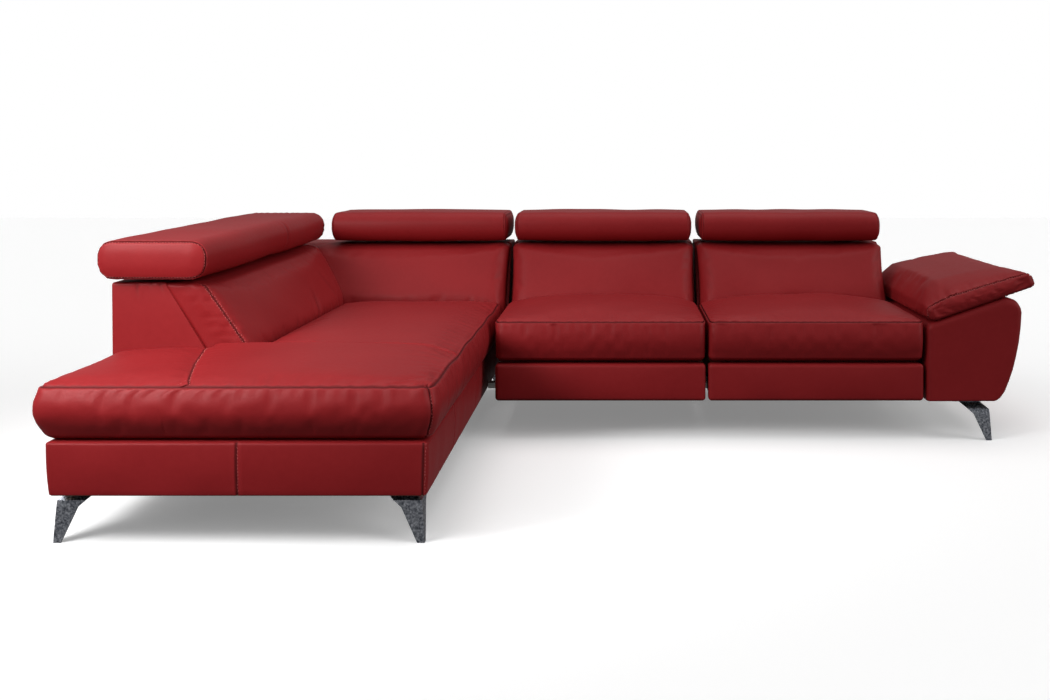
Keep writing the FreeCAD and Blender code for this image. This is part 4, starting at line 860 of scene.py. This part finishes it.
near_cap, far_cap = -0.572, 0.738
side_roll = headrest(-0.584, 0.750, 0.018, 74)
sunk_share = np.clip((drop_end - side_roll.points[:, 0]) / (drop_end - drop_start), 0, 1)
side_roll.points[:, 2] -= near_drop * sunk_share
side_roll.points = turned(side_roll.points)
for place in (near_cap, far_cap):
    side_roll.sew(*side_roll.line(x=place), depth=0.0030, tuck=0.0014, reach=0.022, pitch=0.022, seed=84)
nose_wrinkles = [
    ((-1.20, 0.722), (-1.232, 0.708)), ((-1.196, 0.705), (-1.225, 0.695)),
    ((-1.205, 0.675), (-1.235, 0.685)), ((-1.40, 0.74), (-1.41, 0.715)),
]
for wrinkle in nose_wrinkles:
    side_roll.crease([(x, -0.592, z) for x, z in wrinkle], 0.0016, 0.005)
middle_pinch = [(-1.19, 0.235, 0.762), (-1.166, 0.225, 0.735), (-1.162, 0.225, 0.70), (-1.172, 0.235, 0.672)]
side_roll.crease(middle_pinch, 0.0035, 0.009)
side_piece = side_roll.dress("lounge_headrest_leather", "lounge_headrest", ["lounge_headrest_pad"], fill=0.9)
turn = np.arctan2(side_roll.points[:, 2] - 0.70, side_roll.points[:, 0] + 1.33)
cap_line = side_roll.row(side_roll.at("x", near_cap), turn)
cap_line = np.concatenate((cap_line, cap_line[:1]))
thread(side_piece, "lounge_headrest_stitches", cap_line, "lounge_headrest", offset=-0.0048)


# The arm: a boxed frame under leather with a bowed outer flank, and a wedge pad hinged on its inner edge.
# The pad folds up; its top panel meets the boxing on a seam with two rows of thread.
arm_slope = math.radians(19.2)
arm_inner, arm_foot = 1.112, 0.135
arm = Form(
    (0, 0.097, 0), (1, rear_line, 1), (0.05, 0.020, 0.02), (0.06, 0.014, 0.08), step=0.02, open_sides="z-"
)
u, w = arm.points[:, 0], arm.points[:, 2]
flank_heights = (0, 0.04, 0.1, 0.2, 0.32, 0.45, 0.6, 0.75, 0.9, 1)
outer = np.interp(w, flank_heights, (1.356, 1.374, 1.389, 1.403, 1.417, 1.428, 1.438, 1.444, 1.447, 1.440))
slope = 0.408 + np.minimum(u * 0.334, 0.275) * math.tan(arm_slope)
ceiling = slope - 0.020 * np.clip((u - 0.80) / 0.2, 0, 1) ** 2
arm.points[:, 0] = arm_inner + 0.0015 + (outer - arm_inner) * u
arm.points[:, 2] = arm_foot + (ceiling - 0.001 - arm_foot) * w
arm.dress("arm_leather", "sofa", ["arm_cover"], fill=0.9)

pad_hinge = (1.136, 0.44524)
pad_inner, pad_outer = -0.024, 0.369
pad_front, pad_rear, pad_seam = 0.090, 0.947, 0.101
pad = Form(
    (0, pad_front, 0), (1, pad_rear, 1), (0.07, 0.020, 0.25), (0.05, 0.014, 0.25),
    step=0.02, seams=((), (pad_seam,), ()),
)
u, w = pad.points[:, 0], pad.points[:, 2]
along = pad_inner + u * (pad_outer - pad_inner)
stations = (pad_inner, -0.012, 0.03, 0.073, 0.20, 0.30, 0.35, pad_outer)
full_height = np.interp(along, stations, (0.004, 0.030, 0.058, 0.074, 0.061, 0.045, 0.032, 0.016))
lower = np.interp(along, (pad_inner, -0.006), (-0.0125, -0.0255))
fall_front = np.clip((pad.points[:, 1] - pad_front) / 0.17, 0, 1) ** 0.6
fall = fall_front * np.clip((pad_rear - pad.points[:, 1]) / 0.05, 0, 1) ** 0.35
edge_height = np.minimum(full_height - lower, 0.052)
up = lower + (edge_height + (full_height - lower - edge_height) * (0.12 + 0.88 * fall)) * w
pad.points[:, 0] = pad_hinge[0] + along * math.cos(arm_slope) - up * math.sin(arm_slope)
pad.points[:, 2] = pad_hinge[1] + along * math.sin(arm_slope) + up * math.cos(arm_slope)
pad.sew(*pad.line(y=pad_seam), depth=0.0036, tuck=0.0022, reach=0.022, pitch=0.03, seed=92)
pad.stuff(pad.block[:, 2] < 0.2, most=0.007, slack=0.02)
pad_piece = pad.dress("arm_pad_leather", "folding_pad", ["arm_pad"], fill=0.9)
front_line = pad.row(pad.at("y", pad_seam) & (pad.block[:, 2] > 0.5), pad.points[:, 0])
for label, offset in (("upper", beside_seam), ("lower", -beside_seam)):
    thread(pad_piece, f"arm_pad_{label}_stitches", front_line, "folding_pad", offset=offset)
